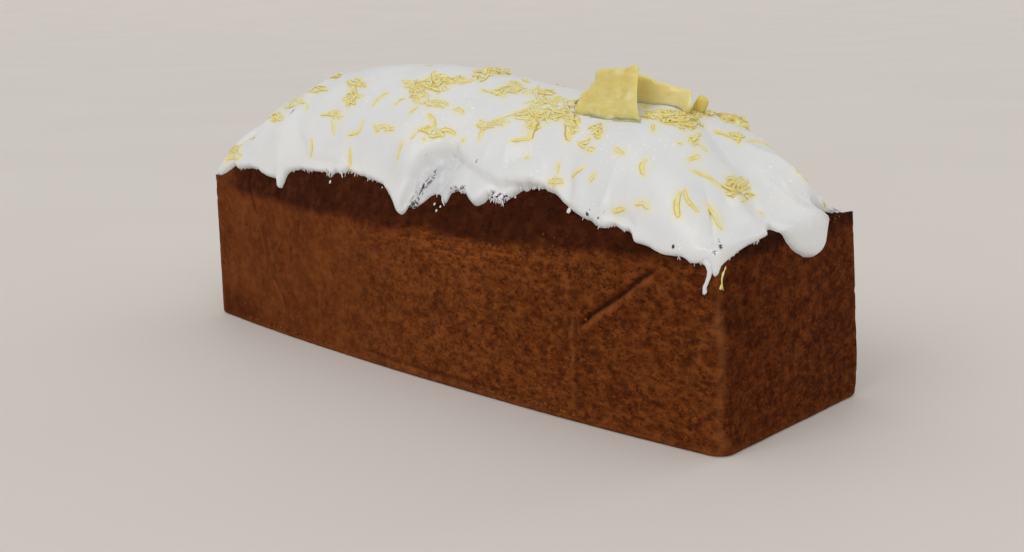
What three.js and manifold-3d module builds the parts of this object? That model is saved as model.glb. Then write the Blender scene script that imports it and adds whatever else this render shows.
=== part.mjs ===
// A lemon drizzle loaf cake: an uncut tin loaf, the thick icing that was poured over its top, and two pieces
// of candied fruit standing on the icing. Millimetres. X runs along the loaf, Y across it, Z up from its base.
import * as THREE from "three";
import { mergeVertices } from "three/addons/utils/BufferGeometryUtils.js";
import Module from "manifold-3d";

const wasm = await Module();
wasm.setup();
const { clamp, lerp, smoothstep, degToRad } = THREE.MathUtils;

// The loaf's walls
const LENGTH = 301;
const WIDTH = 86; // at the ends of the loaf
const SWELL = { by: 7, power: 2.2 }; // how far each long wall swells out at its middle, and how squarely
const END_RIM = 69; // height of the walls at the two ends
const MIDDLE_RIM = 61; // and half way along
const RIM_POWER = 3;
const LEAN = { side: 1.4, left: 1.7, right: 3.9 }; // how far each wall leans in over the height END_RIM
const CORNER_RADIUS = 2.5; // of the two corners at the right end
const LEFT_CORNER_RADIUS = 6;
const FOOT = { radius: 1.5, corner: 6, corner_height: 16 }; // rounding of the base edge and its four corners

// The risen dome: a crest along the middle, highest left of centre, that falls away to the rim all round
const CREST = { low: 100.1, high: 112.9, at: -35.5, spread: 75, power: 2.33, from: -81.5, to: 98 };
const CONTOUR = { crest: 2.25, rim: 11.9, power: 6.85 }; // the dome's contours are squarer near the rim
const SIDE_FALL = { power: 2, steep: 0.8 };
const LEFT_FALL = { power: 1.56, steep: 0.815 };
const RIGHT_FALL = { power: 1.215, steep: 1.24 };

// The icing
const TOP_THICKNESS = 7;
const HEM_THICKNESS = 2.8;
const HEM_LIP = 3.2; // the hem rounds over within this distance of its edge
const HEM_BAND = 25; // the thickness grows from the hem's to the top's over this height
const DRIP_ROOT = 3; // a drip starts this far above the hem
const CORNER_THINNING = { share: 0.55, reach: 7, from: 4, to: 16 }; // thinner near the hem at the corners
const GAP = 0.3; // between pieces that touch

// The height of the icing's lower edge, as [distance along the wall, height], going round anticlockwise
const HEM = {
  front: [[0, 68], [14, 73.4], [36, 74], [46, 72], [57, 71.4], [70, 75.2], [88, 76.6], [108, 77.6], [124, 76.6],
    [137, 74], [148, 70], [158, 68.8], [168, 73.6], [183, 75.3], [192, 74], [200, 77], [209, 77.6], [218, 79.9],
    [226, 79], [240, 73.4], [252, 70.6], [262, 70.6], [268, 67], [281, 64.6], [296, 63.2], [301, 62]],
  right: [[0, 62], [8, 63.8], [16, 66], [24, 68.3], [33, 68.6], [45, 58.4], [52, 56.8], [58, 57.4], [65.5, 71],
    [72, 72.4], [86, 72]],
  back: [[0, 72], [10, 71.5], [26, 67], [58, 73], [95, 69], [128, 76], [160, 71], [196, 76], [232, 70], [262, 74],
    [301, 69]],
  left: [[0, 69], [22, 73], [46, 68], [66, 73], [86, 68]],
};

// Drips: distance along the wall, fall below the hem, half width at the hem, half width at the end, thickness
const DRIPS = {
  front: [[63.6, 4.6, 3.4, 1.5, 2.6], [151.4, 4.4, 6.5, 1.9, 3.2], [172.6, 2.4, 2.8, 1.2, 2.2],
    [192, 3, 7.5, 4.6, 4], [296.4, 9.4, 1.6, 1.2, 1.9], [299.6, 3.6, 3.6, 1.1, 2.6]],
  right: [],
  back: [[26, 8, 8, 4, 4], [61, 5, 4.5, 1.8, 2.8], [99, 15, 9, 4.6, 4.8], [135, 4.5, 5, 1.8, 3],
    [171, 11, 8, 3.8, 4.2], [207, 5, 4.5, 1.6, 2.8], [236, 13, 9, 4.4, 4.8], [272, 7, 6, 2.4, 3.4]],
  left: [[20, 8, 7, 3, 3.6], [48, 13, 9, 4.4, 4.6], [70, 5, 4.5, 1.8, 2.8]],
};

// Folds and dips left in the icing as it was spread: [x, y, radius, depth], a ridge with a depth below zero
const FOLDS = [[-119, -30, 7, 3], [-112, -25, 6, -2], [-139, -31, 7, -1], [-99, -14, 9, 1.4],
  [-77, -38, 8, 1.8], [-88, -38, 8, -1], [23, -44, 9, 2.6], [38, -42, 9, -1.6], [-2, -38, 9, -1.8],
  [60, -38, 14, 1.2], [121, 0, 9, 1.6], [118, 30, 7, -1.4], [126, 38, 8, 2.6], [106, 16, 9, 1],
  [-30, 30, 16, 1.5], [60, 32, 15, 1.4], [-110, 28, 13, 1.3]];

// Candied fruit: outlines as [x, height up the piece], lying in a plane that leans back from its foot. The sides
// run back from the outline aslant, by the slant for each millimetre of thickness.
const SLAB = {
  foot: [85.5, -21.5, 101.5],
  lean: 24,
  slant: 0.86,
  thickness: 7.5,
  outline: [[-17.6, 4.2], [-17.9, 8.2], [-17.3, 12.3], [-14, 13.3], [-14.1, 15.3], [-11.6, 16.9], [-13, 18.8],
    [-12.3, 21], [-9.8, 21.9], [-4.9, 21.7], [0, 21.8], [3.2, 22.7], [6.1, 23.1], [7.3, 20], [9.1, 13.5],
    [10.9, 8.4], [12.4, 5.6], [14.7, 0.6], [8.8, 0.8], [3.8, -1.2], [-1.8, -1.2], [-6.8, 0.4], [-12, 1.8]],
};
const WEDGE = {
  foot: [96, -5, 106.3],
  lean: 9,
  slant: 0.74,
  thickness: 7,
  outline: [[-14.5, 1], [-14.8, 12.2], [-11.3, 12.4], [-6.1, 11.2], [-3.1, 9.8], [1, 9.4], [5, 8.2], [11, 7.7],
    [12.4, 6.1], [12.1, -0.8], [4, -0.8], [-4.9, -0.2]],
};
const FRUIT_BEVEL = 1;
const FRUIT_STEPS = 44; // points round each fruit outline

// How finely the surfaces are divided
const LOAF_PITCH = { front: 15, right: 15, back: 15, left: 15 }; // between columns along each wall
const CORNER_COLUMNS = [-5.5, -2.5, -1.1, 1.1, 2.5, 5.5]; // either side of each corner
const LOAF_WALL_HEIGHTS = [0, 0.5, 1.5, 8, 25];
const LOAF_WALL_ROWS = 2; // between the last of those heights and the rim
const LOAF_DOME_ROWS = [1, 0.96, 0.88, 0.77, 0.63, 0.46, 0.26, 0.05];
const ICING_PITCH = { front: 9, right: 3.6, back: 9, left: 9 };
const DRIP_SEGMENTS = 16;
const HEM_ROWS = [0, 0.9, 2.6, 6]; // distance from the hem
const ICING_TOP_ROWS = 5;
const CREST_START = 0.05; // the rows stop this close to the crest line, and a strip closes them
const BURIED = -2; // the icing's blank reaches this far into the loaf before it is cut to fit

const PERIMETER = 2 * (LENGTH + WIDTH);
const WALLS = [
  { name: "front", length: LENGTH, faces: -90 },
  { name: "right", length: WIDTH, faces: 0 },
  { name: "back", length: LENGTH, faces: 90 },
  { name: "left", length: WIDTH, faces: 180 },
];
const wallStart = (index) => WALLS.slice(0, index).reduce((sum, wall) => sum + wall.length, 0);

// The wall at a distance round the loaf, and how far along that wall it is
function wallAt(around) {
  let rest = ((around % PERIMETER) + PERIMETER) % PERIMETER;
  let index = 0;
  while (rest > WALLS[index].length) {
    rest -= WALLS[index].length;
    index += 1;
  }
  return { wall: WALLS[index], rest };
}

// How far it is round the loaf from one place to another, the shorter way
function aroundBetween(from, to) {
  const apart = (((to - from) % PERIMETER) + PERIMETER) % PERIMETER;
  return apart > PERIMETER / 2 ? apart - PERIMETER : apart;
}

// A place round the loaf: along and across run from -1 to 1 between the corners, and angle is where it faces
function placeAt(around) {
  const { wall, rest } = wallAt(around);
  const straight = wall.length - 2 * CORNER_RADIUS;
  const t = clamp((rest - CORNER_RADIUS) / straight, 0, 1) * 2 - 1;
  const before = Math.min(rest / CORNER_RADIUS - 1, 0);
  const after = Math.max((rest - wall.length) / CORNER_RADIUS + 1, 0);
  const faces = degToRad(wall.faces);
  return {
    along: Math.round(Math.cos(faces)) - t * Math.round(Math.sin(faces)),
    across: Math.round(Math.sin(faces)) + t * Math.round(Math.cos(faces)),
    angle: faces + ((before + after) * Math.PI) / 4,
  };
}

const endShare = (x) => Math.min(Math.abs((2 * x) / LENGTH), 1);
const halfWidth = (x) => WIDTH / 2 + SWELL.by * (1 - endShare(x) ** SWELL.power);
const rimHeight = (x) => lerp(MIDDLE_RIM, END_RIM, endShare(x) ** RIM_POWER);
const crestShare = (x) => Math.exp(-(Math.abs((x - CREST.at) / CREST.spread) ** CREST.power));
const crestHeight = (x) => lerp(CREST.low, CREST.high, crestShare(x));

// How far the rounded base edge draws in at a height
function footInset(z) {
  const up = Math.max(FOOT.radius - z, 0);
  return FOOT.radius - Math.sqrt(FOOT.radius ** 2 - up ** 2);
}

function cornerRadius(along, z) {
  const low = Math.max(1 - z / FOOT.corner_height, 0);
  return lerp(along < 0 ? LEFT_CORNER_RADIUS : CORNER_RADIUS, FOOT.corner, low ** 2);
}

// The wall's point at a place and a height
function wallPoint(place, z) {
  const leaning = z / END_RIM;
  const inset = footInset(z);
  const radius = cornerRadius(place.along, z);
  const reach = LENGTH / 2 - inset - leaning * (place.along > 0 ? LEAN.right : LEAN.left);
  const x = place.along * (reach - radius) + radius * Math.cos(place.angle);
  const half = halfWidth(x) - inset - leaning * LEAN.side;
  return new THREE.Vector3(x, place.across * (half - radius) + radius * Math.sin(place.angle), z);
}

// The height of the crust over a point: a superellipse dome about the crest line
function domeHeight(x, y) {
  const crestX = clamp(x, CREST.from, CREST.to);
  const fall = x < crestX ? LEFT_FALL : RIGHT_FALL;
  const room = x < crestX ? LENGTH / 2 - LEAN.left + CREST.from : LENGTH / 2 - LEAN.right - CREST.to;
  const endwards = Math.abs(x - crestX) / room;
  const sidewards = Math.abs(y) / (halfWidth(x) - LEAN.side);
  const square = CONTOUR.crest + CONTOUR.rim * Math.min(Math.max(endwards, sidewards), 1) ** CONTOUR.power;
  const end = endwards ** square;
  const total = Math.max(end + sidewards ** square, 1e-12);
  const out = Math.min(total ** (1 / square), 1);
  const power = lerp(SIDE_FALL.power, fall.power, end / total);
  const steep = lerp(SIDE_FALL.steep, fall.steep, end / total);
  const rim = rimHeight(x);
  return rim + (crestHeight(crestX) - rim) * (1 - out ** power) ** steep;
}

// A point of the crust: down is 0 at the crest line, 1 at the rim and 2 at the base
function crustPoint(around, down) {
  const place = placeAt(around);
  const guess = wallPoint(place, END_RIM);
  const rim = wallPoint(place, domeHeight(guess.x, guess.y));
  if (down > 1) return wallPoint(place, rim.z * (2 - down));
  const x = lerp(clamp(rim.x, CREST.from, CREST.to), rim.x, down);
  const y = rim.y * down;
  return new THREE.Vector3(x, y, domeHeight(x, y));
}

// The crust's outward direction, smoothed over its neighbourhood so that the rim and the corners are soft
function crustNormal(around, down) {
  const smooth = new THREE.Vector3();
  for (const [turn, shift] of [[-8, 0], [-4, 0], [0, -0.08], [0, 0], [0, 0.08], [4, 0], [8, 0]]) {
    const [place, at] = [around + turn, clamp(down + shift, 0.03, 1.9)];
    const onward = crustPoint(place + 2, at).sub(crustPoint(place - 2, at));
    const upward = crustPoint(place, at - 0.02).sub(crustPoint(place, at + 0.02));
    smooth.add(onward.cross(upward).normalize());
  }
  return smooth.normalize();
}

// A closed body from rings of points, each ring anticlockwise from above, with the outside on the right
function ringSolid(rings) {
  const count = rings[0].length;
  const triangles = [];
  for (let r = 0; r + 1 < rings.length; r++) {
    for (let i = 0; i < count; i++) {
      const [a, b] = [r * count + i, r * count + ((i + 1) % count)];
      triangles.push([a, b, b + count], [a, b + count, a + count]);
    }
  }
  for (const [a, b, c] of stripAcross(rings[0])) triangles.push([c, b, a]);
  const last = (rings.length - 1) * count;
  for (const triangle of stripAcross(rings[rings.length - 1])) triangles.push(triangle.map((i) => i + last));
  const geometry = new THREE.BufferGeometry().setFromPoints(rings.flat());
  return geometry.setIndex(triangles.flat());
}

// Triangles facing up that close a ring, between its front and its back half
function stripAcross(ring) {
  const count = ring.length;
  const order = ring.map((_, i) => i).sort((a, b) => ring[a].x - ring[b].x);
  const [first, last] = [order[0], order[count - 1]];
  const chain = (step) => {
    const list = [first];
    while (list[list.length - 1] !== last) list.push((list[list.length - 1] + step + count) % count);
    return list;
  };
  const [front, back] = [chain(1), chain(-1)];
  const triangles = [];
  let [f, b] = [0, 0];
  while (f + 1 < front.length || b + 1 < back.length) {
    const frontNext = f + 1 < front.length ? ring[front[f + 1]].x : Infinity;
    const backNext = b + 1 < back.length ? ring[back[b + 1]].x : Infinity;
    const inFront = frontNext <= backNext;
    const triangle = inFront ? [front[f], front[++f], back[b]] : [front[f], back[b + 1], back[b++]];
    if (new Set(triangle).size === 3) triangles.push(triangle);
  }
  return triangles;
}

// Distances round the loaf, at each wall's pitch or so and closer at the corners
function columns(pitch) {
  const list = [];
  WALLS.forEach((wall, index) => {
    const steps = Math.round((wall.length - 2 * CORNER_RADIUS) / pitch[wall.name]);
    for (let i = 1; i < steps; i++) {
      list.push(wallStart(index) + CORNER_RADIUS + ((wall.length - 2 * CORNER_RADIUS) * i) / steps);
    }
    for (const shift of CORNER_COLUMNS) list.push(wallStart(index) + shift);
  });
  return list.map((around) => (around + PERIMETER) % PERIMETER).sort((a, b) => a - b);
}

function loafGeometry() {
  const around = columns(LOAF_PITCH);
  const wall = (height) => around.map((s) => wallPoint(placeAt(s), height));
  const upper = (share) => {
    const down = (s) => {
      const start = 2 - LOAF_WALL_HEIGHTS.at(-1) / crustPoint(s, 1).z;
      return lerp(start, 1, share);
    };
    return around.map((s) => crustPoint(s, down(s)));
  };
  const dome = (down) => around.map((s) => crustPoint(s, down));
  const rings = LOAF_WALL_HEIGHTS.map(wall);
  for (let i = 1; i <= LOAF_WALL_ROWS; i++) rings.push(upper(i / (LOAF_WALL_ROWS + 1)));
  rings.push(...LOAF_DOME_ROWS.map(dome));
  return ringSolid(rings);
}

// A value between listed [place, value] points, easing in and out of each
function eased(points, at) {
  const next = points.findIndex(([place]) => place >= at);
  if (next <= 0) return points[Math.max(next, 0)][1];
  const [[p0, v0], [p1, v1]] = [points[next - 1], points[next]];
  return lerp(v0, v1, smoothstep(at, p0, p1));
}

const hemHeight = (around) => eased(HEM[wallAt(around).wall.name], wallAt(around).rest);

// The icing's thickness at a point of the crust that lies a distance above the hem
function icingThickness(around, above, point) {
  const lip = Math.sqrt(1 - (1 - clamp(above / HEM_LIP, 0, 1)) ** 2);
  const away = (x, y) => (point.x - x) ** 2 + (point.y - y) ** 2;
  const fold = ([x, y, radius, depth]) => depth * Math.exp(-away(x, y) / radius ** 2);
  const folds = FOLDS.reduce((sum, each) => sum + fold(each), 0);
  const fromCorner = Math.min(...WALLS.map((_, index) => Math.abs(aroundBetween(wallStart(index), around))));
  const { share, reach, from, to } = CORNER_THINNING;
  const thinned = 1 - share * Math.exp(-((fromCorner / reach) ** 2)) * (1 - smoothstep(above, from, to));
  return (lerp(HEM_THICKNESS, TOP_THICKNESS, smoothstep(above, 0, HEM_BAND)) - folds) * lip * thinned;
}

// The walk down the crust from the crest to a height, as steps of {down, length}
function walkTo(height, around) {
  const walk = [{ down: CREST_START, length: 0, point: crustPoint(around, CREST_START) }];
  while (walk.at(-1).point.z > height) {
    const down = walk.at(-1).down + 0.02;
    const point = crustPoint(around, down);
    walk.push({ down, point, length: walk.at(-1).length + point.distanceTo(walk.at(-1).point) });
  }
  const [above, below] = walk.slice(-2);
  const share = (above.point.z - height) / (above.point.z - below.point.z);
  below.down = lerp(above.down, below.down, share);
  below.length = lerp(above.length, below.length, share);
  return walk;
}

function downAtLength(walk, length) {
  const next = Math.max(walk.findIndex((step) => step.length >= length), 1);
  const [a, b] = [walk[next - 1], walk[next]];
  return lerp(a.down, b.down, (length - a.length) / (b.length - a.length));
}

// One column of the icing's blank: under the crust from the crest to the hem, then back over the top
function icingColumn(around) {
  const walk = walkTo(hemHeight(around), around);
  const total = walk.at(-1).length;
  const buried = [CREST_START, lerp(CREST_START, walk.at(-1).down, 0.6), walk.at(-1).down];
  const sunk = (down) => crustPoint(around, down).addScaledVector(crustNormal(around, down), BURIED);
  const under = buried.map(sunk);
  const heights = [...HEM_ROWS];
  for (let i = 1; i <= ICING_TOP_ROWS; i++) heights.push(lerp(HEM_ROWS.at(-1), total, i / ICING_TOP_ROWS));
  const over = heights.map((above) => {
    const down = downAtLength(walk, total - above);
    const point = crustPoint(around, down);
    return point.clone().addScaledVector(crustNormal(around, down), icingThickness(around, above, point));
  });
  return [...under, ...over];
}

function icingSheet() {
  const made = columns(ICING_PITCH).map(icingColumn);
  return ringSolid(made[0].map((_, row) => made.map((column) => column[row])));
}

// A drip: the hull of two flattened balls on the crust, one under the hem and a smaller one at the drip's end
function dripSolid(around, fall, hemHalf, endHalf, thickness) {
  const ball = (height, half) => {
    const { down } = walkTo(height, around).at(-1);
    const out = crustNormal(around, down);
    const along = crustPoint(around + 1, down).sub(crustPoint(around - 1, down)).normalize();
    const placed = new THREE.Matrix4().makeBasis(along, out.clone().cross(along), out);
    placed.scale(new THREE.Vector3(half, half, thickness)).setPosition(crustPoint(around, down));
    return wasm.Manifold.sphere(1, DRIP_SEGMENTS).transform(placed.elements);
  };
  const hem = hemHeight(around);
  return wasm.Manifold.hull([ball(hem + DRIP_ROOT, hemHalf), ball(hem - fall + endHalf, endHalf)]);
}

function icingSolid() {
  const drips = WALLS.flatMap((wall, index) =>
    DRIPS[wall.name].map(([at, ...sizes]) => dripSolid(wallStart(index) + at, ...sizes)),
  );
  return wasm.Manifold.union([solidOf(icingSheet()), ...drips]);
}

// A bevelled piece of fruit, cut from a plate whose front face leans back from its foot
function fruitGeometry({ foot, lean, slant, thickness, outline }) {
  const points = outline.map(([x, y]) => new THREE.Vector3(x, y, 0));
  const curve = new THREE.CatmullRomCurve3(points, true, "catmullrom", 0.4);
  const corners = curve.getPoints(FRUIT_STEPS).slice(0, -1);
  const shape = new THREE.Shape(corners.map((p) => new THREE.Vector2(p.x, p.y)));
  const geometry = new THREE.ExtrudeGeometry(shape, {
    depth: thickness - 2 * FRUIT_BEVEL,
    bevelThickness: FRUIT_BEVEL,
    bevelSize: FRUIT_BEVEL,
    bevelOffset: -FRUIT_BEVEL,
    bevelSegments: 2,
  });
  geometry.translate(0, 0, FRUIT_BEVEL - thickness);
  geometry.applyMatrix4(new THREE.Matrix4().makeShear(0, 0, 0, 0, slant, 0));
  geometry.rotateX(degToRad(90 - lean));
  return geometry.translate(...foot);
}

// A geometry with only its positions, shared between faces
function welded(geometry) {
  const plain = geometry.clone();
  for (const name of ["normal", "uv"]) plain.deleteAttribute(name);
  return mergeVertices(plain, 1e-3);
}

function solidOf(geometry) {
  const { index, attributes } = welded(geometry);
  const vertProperties = new Float32Array(attributes.position.array);
  const triVerts = new Uint32Array(index.array);
  return new wasm.Manifold(new wasm.Mesh({ numProp: 3, vertProperties, triVerts }));
}

// The solid of a geometry pushed outwards by a distance
function grown(geometry, distance) {
  const plain = welded(geometry);
  plain.computeVertexNormals();
  const { position, normal } = plain.attributes;
  const [point, out] = [new THREE.Vector3(), new THREE.Vector3()];
  for (let i = 0; i < position.count; i++) {
    point.fromBufferAttribute(position, i);
    point.addScaledVector(out.fromBufferAttribute(normal, i), distance);
    position.setXYZ(i, ...point);
  }
  return solidOf(plain);
}

// The largest body of a cut solid, as a geometry
function geometryOf(solid) {
  const [largest] = solid.decompose().sort((a, b) => b.volume() - a.volume());
  const { vertProperties, triVerts } = largest.getMesh();
  const geometry = new THREE.BufferGeometry();
  geometry.setAttribute("position", new THREE.BufferAttribute(vertProperties, 3));
  return geometry.setIndex(new THREE.BufferAttribute(triVerts, 1));
}

function meshOf(name, geometry, color, roughness) {
  geometry.computeVertexNormals();
  const mesh = new THREE.Mesh(geometry, new THREE.MeshStandardMaterial({ color, roughness, metalness: 0 }));
  mesh.name = name;
  return mesh;
}

const loaf = loafGeometry();
const icing = icingSolid();
const aroundLoaf = grown(loaf, GAP);
const aroundIcing = grown(geometryOf(icing), GAP);
const seated = (piece) => geometryOf(solidOf(fruitGeometry(piece)).subtract(aroundIcing).subtract(aroundLoaf));

const cake = new THREE.Group();
cake.add(meshOf("loaf", loaf, 0x5e2c16, 0.75));
cake.add(meshOf("icing", geometryOf(icing.subtract(aroundLoaf)), 0xf2f3f5, 0.35));
cake.add(meshOf("fruit_slab", seated(SLAB), 0xdcc56a, 0.3));
cake.add(meshOf("fruit_wedge", seated(WEDGE), 0xdcc56a, 0.3));

// The origin is the middle of the whole cake's base
const box = new THREE.Box3().setFromObject(cake);
const middle = box.getCenter(new THREE.Vector3());
cake.position.set(-middle.x, -middle.y, -box.min.z);

export default cake;
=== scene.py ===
"""The looks of a lemon drizzle loaf cake: a browned tin loaf, poured icing, citrus zest and candied fruit.

Shapes are worked out in millimetres in the loaf's own frame, whose origin is the middle of the loaf's base
with X along the loaf and Z up. They reach Blender in metres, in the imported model's frame.
"""

import math

import bmesh
import bpy
import numpy as np
from mathutils import Matrix, Vector
from mathutils.bvhtree import BVHTree
from mathutils.kdtree import KDTree


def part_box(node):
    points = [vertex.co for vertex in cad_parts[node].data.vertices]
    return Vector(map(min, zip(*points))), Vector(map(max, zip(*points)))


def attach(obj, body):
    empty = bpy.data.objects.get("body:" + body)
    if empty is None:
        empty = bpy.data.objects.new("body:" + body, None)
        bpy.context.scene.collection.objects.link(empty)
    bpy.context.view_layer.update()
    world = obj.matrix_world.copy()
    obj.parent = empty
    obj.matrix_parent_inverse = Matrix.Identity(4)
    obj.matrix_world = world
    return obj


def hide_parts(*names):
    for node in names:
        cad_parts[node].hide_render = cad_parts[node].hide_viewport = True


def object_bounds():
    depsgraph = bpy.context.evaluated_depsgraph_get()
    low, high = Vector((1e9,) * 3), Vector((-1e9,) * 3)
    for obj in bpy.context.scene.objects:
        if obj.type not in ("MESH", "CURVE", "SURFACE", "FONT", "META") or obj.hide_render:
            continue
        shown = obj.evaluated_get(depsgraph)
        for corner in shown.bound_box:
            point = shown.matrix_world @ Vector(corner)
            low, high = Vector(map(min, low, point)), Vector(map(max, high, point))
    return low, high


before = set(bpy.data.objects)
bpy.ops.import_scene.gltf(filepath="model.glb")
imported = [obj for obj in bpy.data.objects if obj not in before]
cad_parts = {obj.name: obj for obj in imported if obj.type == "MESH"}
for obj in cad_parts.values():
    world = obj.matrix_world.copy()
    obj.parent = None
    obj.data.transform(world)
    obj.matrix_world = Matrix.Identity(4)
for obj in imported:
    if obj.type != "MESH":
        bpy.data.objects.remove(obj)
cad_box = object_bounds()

MM = 0.001
loaf_low, loaf_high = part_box("loaf")
LOAF_CENTRE = np.array([(loaf_low.x + loaf_high.x) / 2, (loaf_low.y + loaf_high.y) / 2, loaf_low.z])

# The loaf and the icing, with the same driving sizes as the CAD solids
LENGTH = 301.0
WIDTH = 86.0
SWELL, SWELL_POWER = 7.0, 2.2
END_RIM, MIDDLE_RIM, RIM_POWER = 69.0, 61.0, 3.0
LEAN_SIDE, LEAN_LEFT, LEAN_RIGHT = 1.4, 1.7, 3.9
CORNER_RADIUS, LEFT_CORNER_RADIUS = 2.5, 6.0
FOOT_RADIUS, FOOT_CORNER, FOOT_CORNER_HEIGHT = 1.5, 6.0, 16.0
CREST_LOW, CREST_HIGH, CREST_AT, CREST_SPREAD, CREST_POWER = 100.1, 112.9, -35.5, 75.0, 2.33
CREST_FROM, CREST_TO = -81.5, 98.0
CONTOUR_CREST, CONTOUR_RIM, CONTOUR_POWER = 2.25, 11.9, 6.85
SIDE_FALL, LEFT_FALL, RIGHT_FALL = (2.0, 0.8), (1.56, 0.815), (1.215, 1.24)
TOP_THICKNESS, HEM_BAND = 7.0, 25.0
CORNER_SHARE, CORNER_REACH, CORNER_FROM, CORNER_TO = 0.55, 7.0, 4.0, 16.0

# The walls, anticlockwise from the front left corner, and the way each faces. A place round the loaf is a
# distance along them.
FRONT, RIGHT, BACK, LEFT = range(4)
PERIMETER = 2 * (LENGTH + WIDTH)
WALL_LENGTHS = np.array([LENGTH, WIDTH, LENGTH, WIDTH])
WALL_STARTS = np.array([0, LENGTH, LENGTH + WIDTH, 2 * LENGTH + WIDTH])
WALL_X = np.array([0, 1, 0, -1])
WALL_Y = np.array([-1, 0, 1, 0])

# The icing's lower edge on each wall, as (distance along the wall, height)
HEM = {
    FRONT: [
        (0, 68), (5, 69.2), (10, 71.6), (14.5, 74.2), (18.5, 73), (25, 73.8), (36, 74), (43, 72.3),
        (50, 71.5), (55.4, 71.2), (58, 69.8), (60.6, 67.4), (62.6, 67.8), (63.6, 73.2), (67, 75.1),
        (76, 76.5), (88, 76.4), (100, 77), (108, 77.2), (111, 78.5), (116, 77.6), (124, 76.6), (135, 74.9),
        (141, 71.8), (146, 68.8), (149, 65.6), (151.5, 64.8), (153.6, 66.2), (154.4, 67.9), (157.5, 67.7),
        (161.5, 69.8), (168.4, 73.8), (172, 72.7), (174, 71.2), (175.8, 74.6), (182, 75.8), (186.6, 73.5),
        (190.6, 72), (194.4, 73.2), (196, 75.2), (198.6, 74), (203.4, 73.8), (206, 75.8), (209, 77.6),
        (216.5, 80), (225, 79.1), (233, 76), (240, 73.4), (248, 71.1), (254.5, 70.3), (258.5, 71.3),
        (263, 70.1), (265.8, 70.2), (267.6, 68.8), (269, 67), (274, 66.4), (281, 64.4), (288, 64.2),
        (291, 63), (295.4, 63.2), (297.6, 61.6), (299.8, 59.2), (301, 60),
    ],
    RIGHT: [
        (0, 60), (1, 62.4), (8, 65), (13, 66.4), (18, 67.4), (24, 67.7), (29.5, 68.7), (33.4, 69.3),
        (36.4, 67.8), (39.2, 64.4), (43, 61), (47, 58.8), (51, 57.2), (55, 56.6), (59, 57.6), (61.8, 60.2),
        (63.2, 64), (63.8, 66.4), (65, 69), (69, 70.6), (76, 70.4), (80, 69.6), (83, 70), (86, 71),
    ],
    BACK: [
        (0, 71), (9, 71.6), (15, 69.6), (19.5, 66.8), (21.6, 62.5), (23.4, 60), (26, 59.2), (28.6, 60),
        (30.4, 63), (32, 67.6), (36, 70.6), (46, 72.4), (55, 72.2), (58.4, 70.4), (61.2, 68.2), (62.6, 69),
        (64, 71.8), (70, 72.6), (80, 71.4), (88, 69.4), (92, 66), (94.4, 60), (96.4, 56), (99, 54.6),
        (101.6, 56), (103.6, 60.4), (105.6, 67), (110, 71.6), (118, 74.6), (127, 75.8), (132.6, 73.6),
        (135.6, 71.6), (137, 73), (139, 75), (146, 73.8), (156, 71.6), (163, 70.2), (166, 66.6),
        (168.4, 62), (171, 60.6), (173.6, 62), (175.6, 66), (178.4, 70.6), (186, 74), (196, 75.8),
        (203, 74.8), (205.6, 72.2), (207, 71), (208.6, 71.4), (210.4, 73.8), (217, 73), (226, 70.4),
        (229.6, 66), (232, 60.6), (234, 58), (236.4, 57), (239, 58.2), (241, 61.6), (243.4, 67.4),
        (248, 71.4), (257, 73.6), (265, 72.8), (268.6, 69.4), (270.4, 66.8), (272.2, 66), (274.2, 67),
        (276, 70.6), (281, 72.2), (290, 71), (301, 69),
    ],
    LEFT: [
        (0, 69), (8, 70), (13, 69.6), (16, 67.6), (17.8, 65.6), (19.8, 64.8), (21.8, 65.6), (23.6, 68),
        (27, 71.2), (34, 71.8), (40, 69.6), (43, 65.6), (45, 60), (47, 56.4), (49, 55.4), (51, 56.6),
        (53, 60.6), (55, 66.6), (60, 71.4), (65.6, 72.6), (68, 70.6), (70.8, 68.2), (72.2, 69.4),
        (74, 71.6), (80, 70), (86, 68),
    ],
}

# Frayed stretches of the hem: wall, from, to, how many fine strings hang there, the longest, how ragged it is
FRAYED = [
    (FRONT, 16, 40, 5, 1.0, 0.25), (FRONT, 68, 84, 8, 1.2, 0.35), (FRONT, 90, 116, 26, 2.0, 0.8),
    (FRONT, 116, 134, 7, 1.2, 0.3), (FRONT, 166, 184, 10, 1.3, 0.8), (FRONT, 196, 206, 8, 1.5, 0.6),
    (FRONT, 206, 224, 10, 1.0, 0.8), (FRONT, 242, 266, 8, 1.0, 0.4), (FRONT, 284, 299, 12, 1.3, 0.45),
    (RIGHT, 4, 24, 9, 1.2, 0.3), (RIGHT, 64, 85, 22, 2.0, 0.9), (BACK, 36, 90, 18, 1.6, 0.5),
    (BACK, 108, 160, 22, 1.8, 0.6), (BACK, 180, 226, 18, 1.6, 0.5), (BACK, 248, 298, 18, 1.6, 0.5),
    (LEFT, 4, 40, 10, 1.4, 0.4), (LEFT, 58, 84, 10, 1.4, 0.4),
]

# Small droplets of icing by the hem: wall, distance along it, height, radius
DROPLETS = [
    (FRONT, 99.2, 73.1, 0.6), (FRONT, 169, 70.4, 0.45), (FRONT, 171, 68.2, 0.45), (FRONT, 172.6, 69.8, 0.4),
    (FRONT, 236.4, 73.9, 0.8), (FRONT, 209.2, 76.1, 0.35), (FRONT, 135.2, 73.8, 0.3),
    (BACK, 150, 69.6, 0.8), (BACK, 246, 66.4, 0.7), (LEFT, 58, 66.4, 0.7),
]

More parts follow.
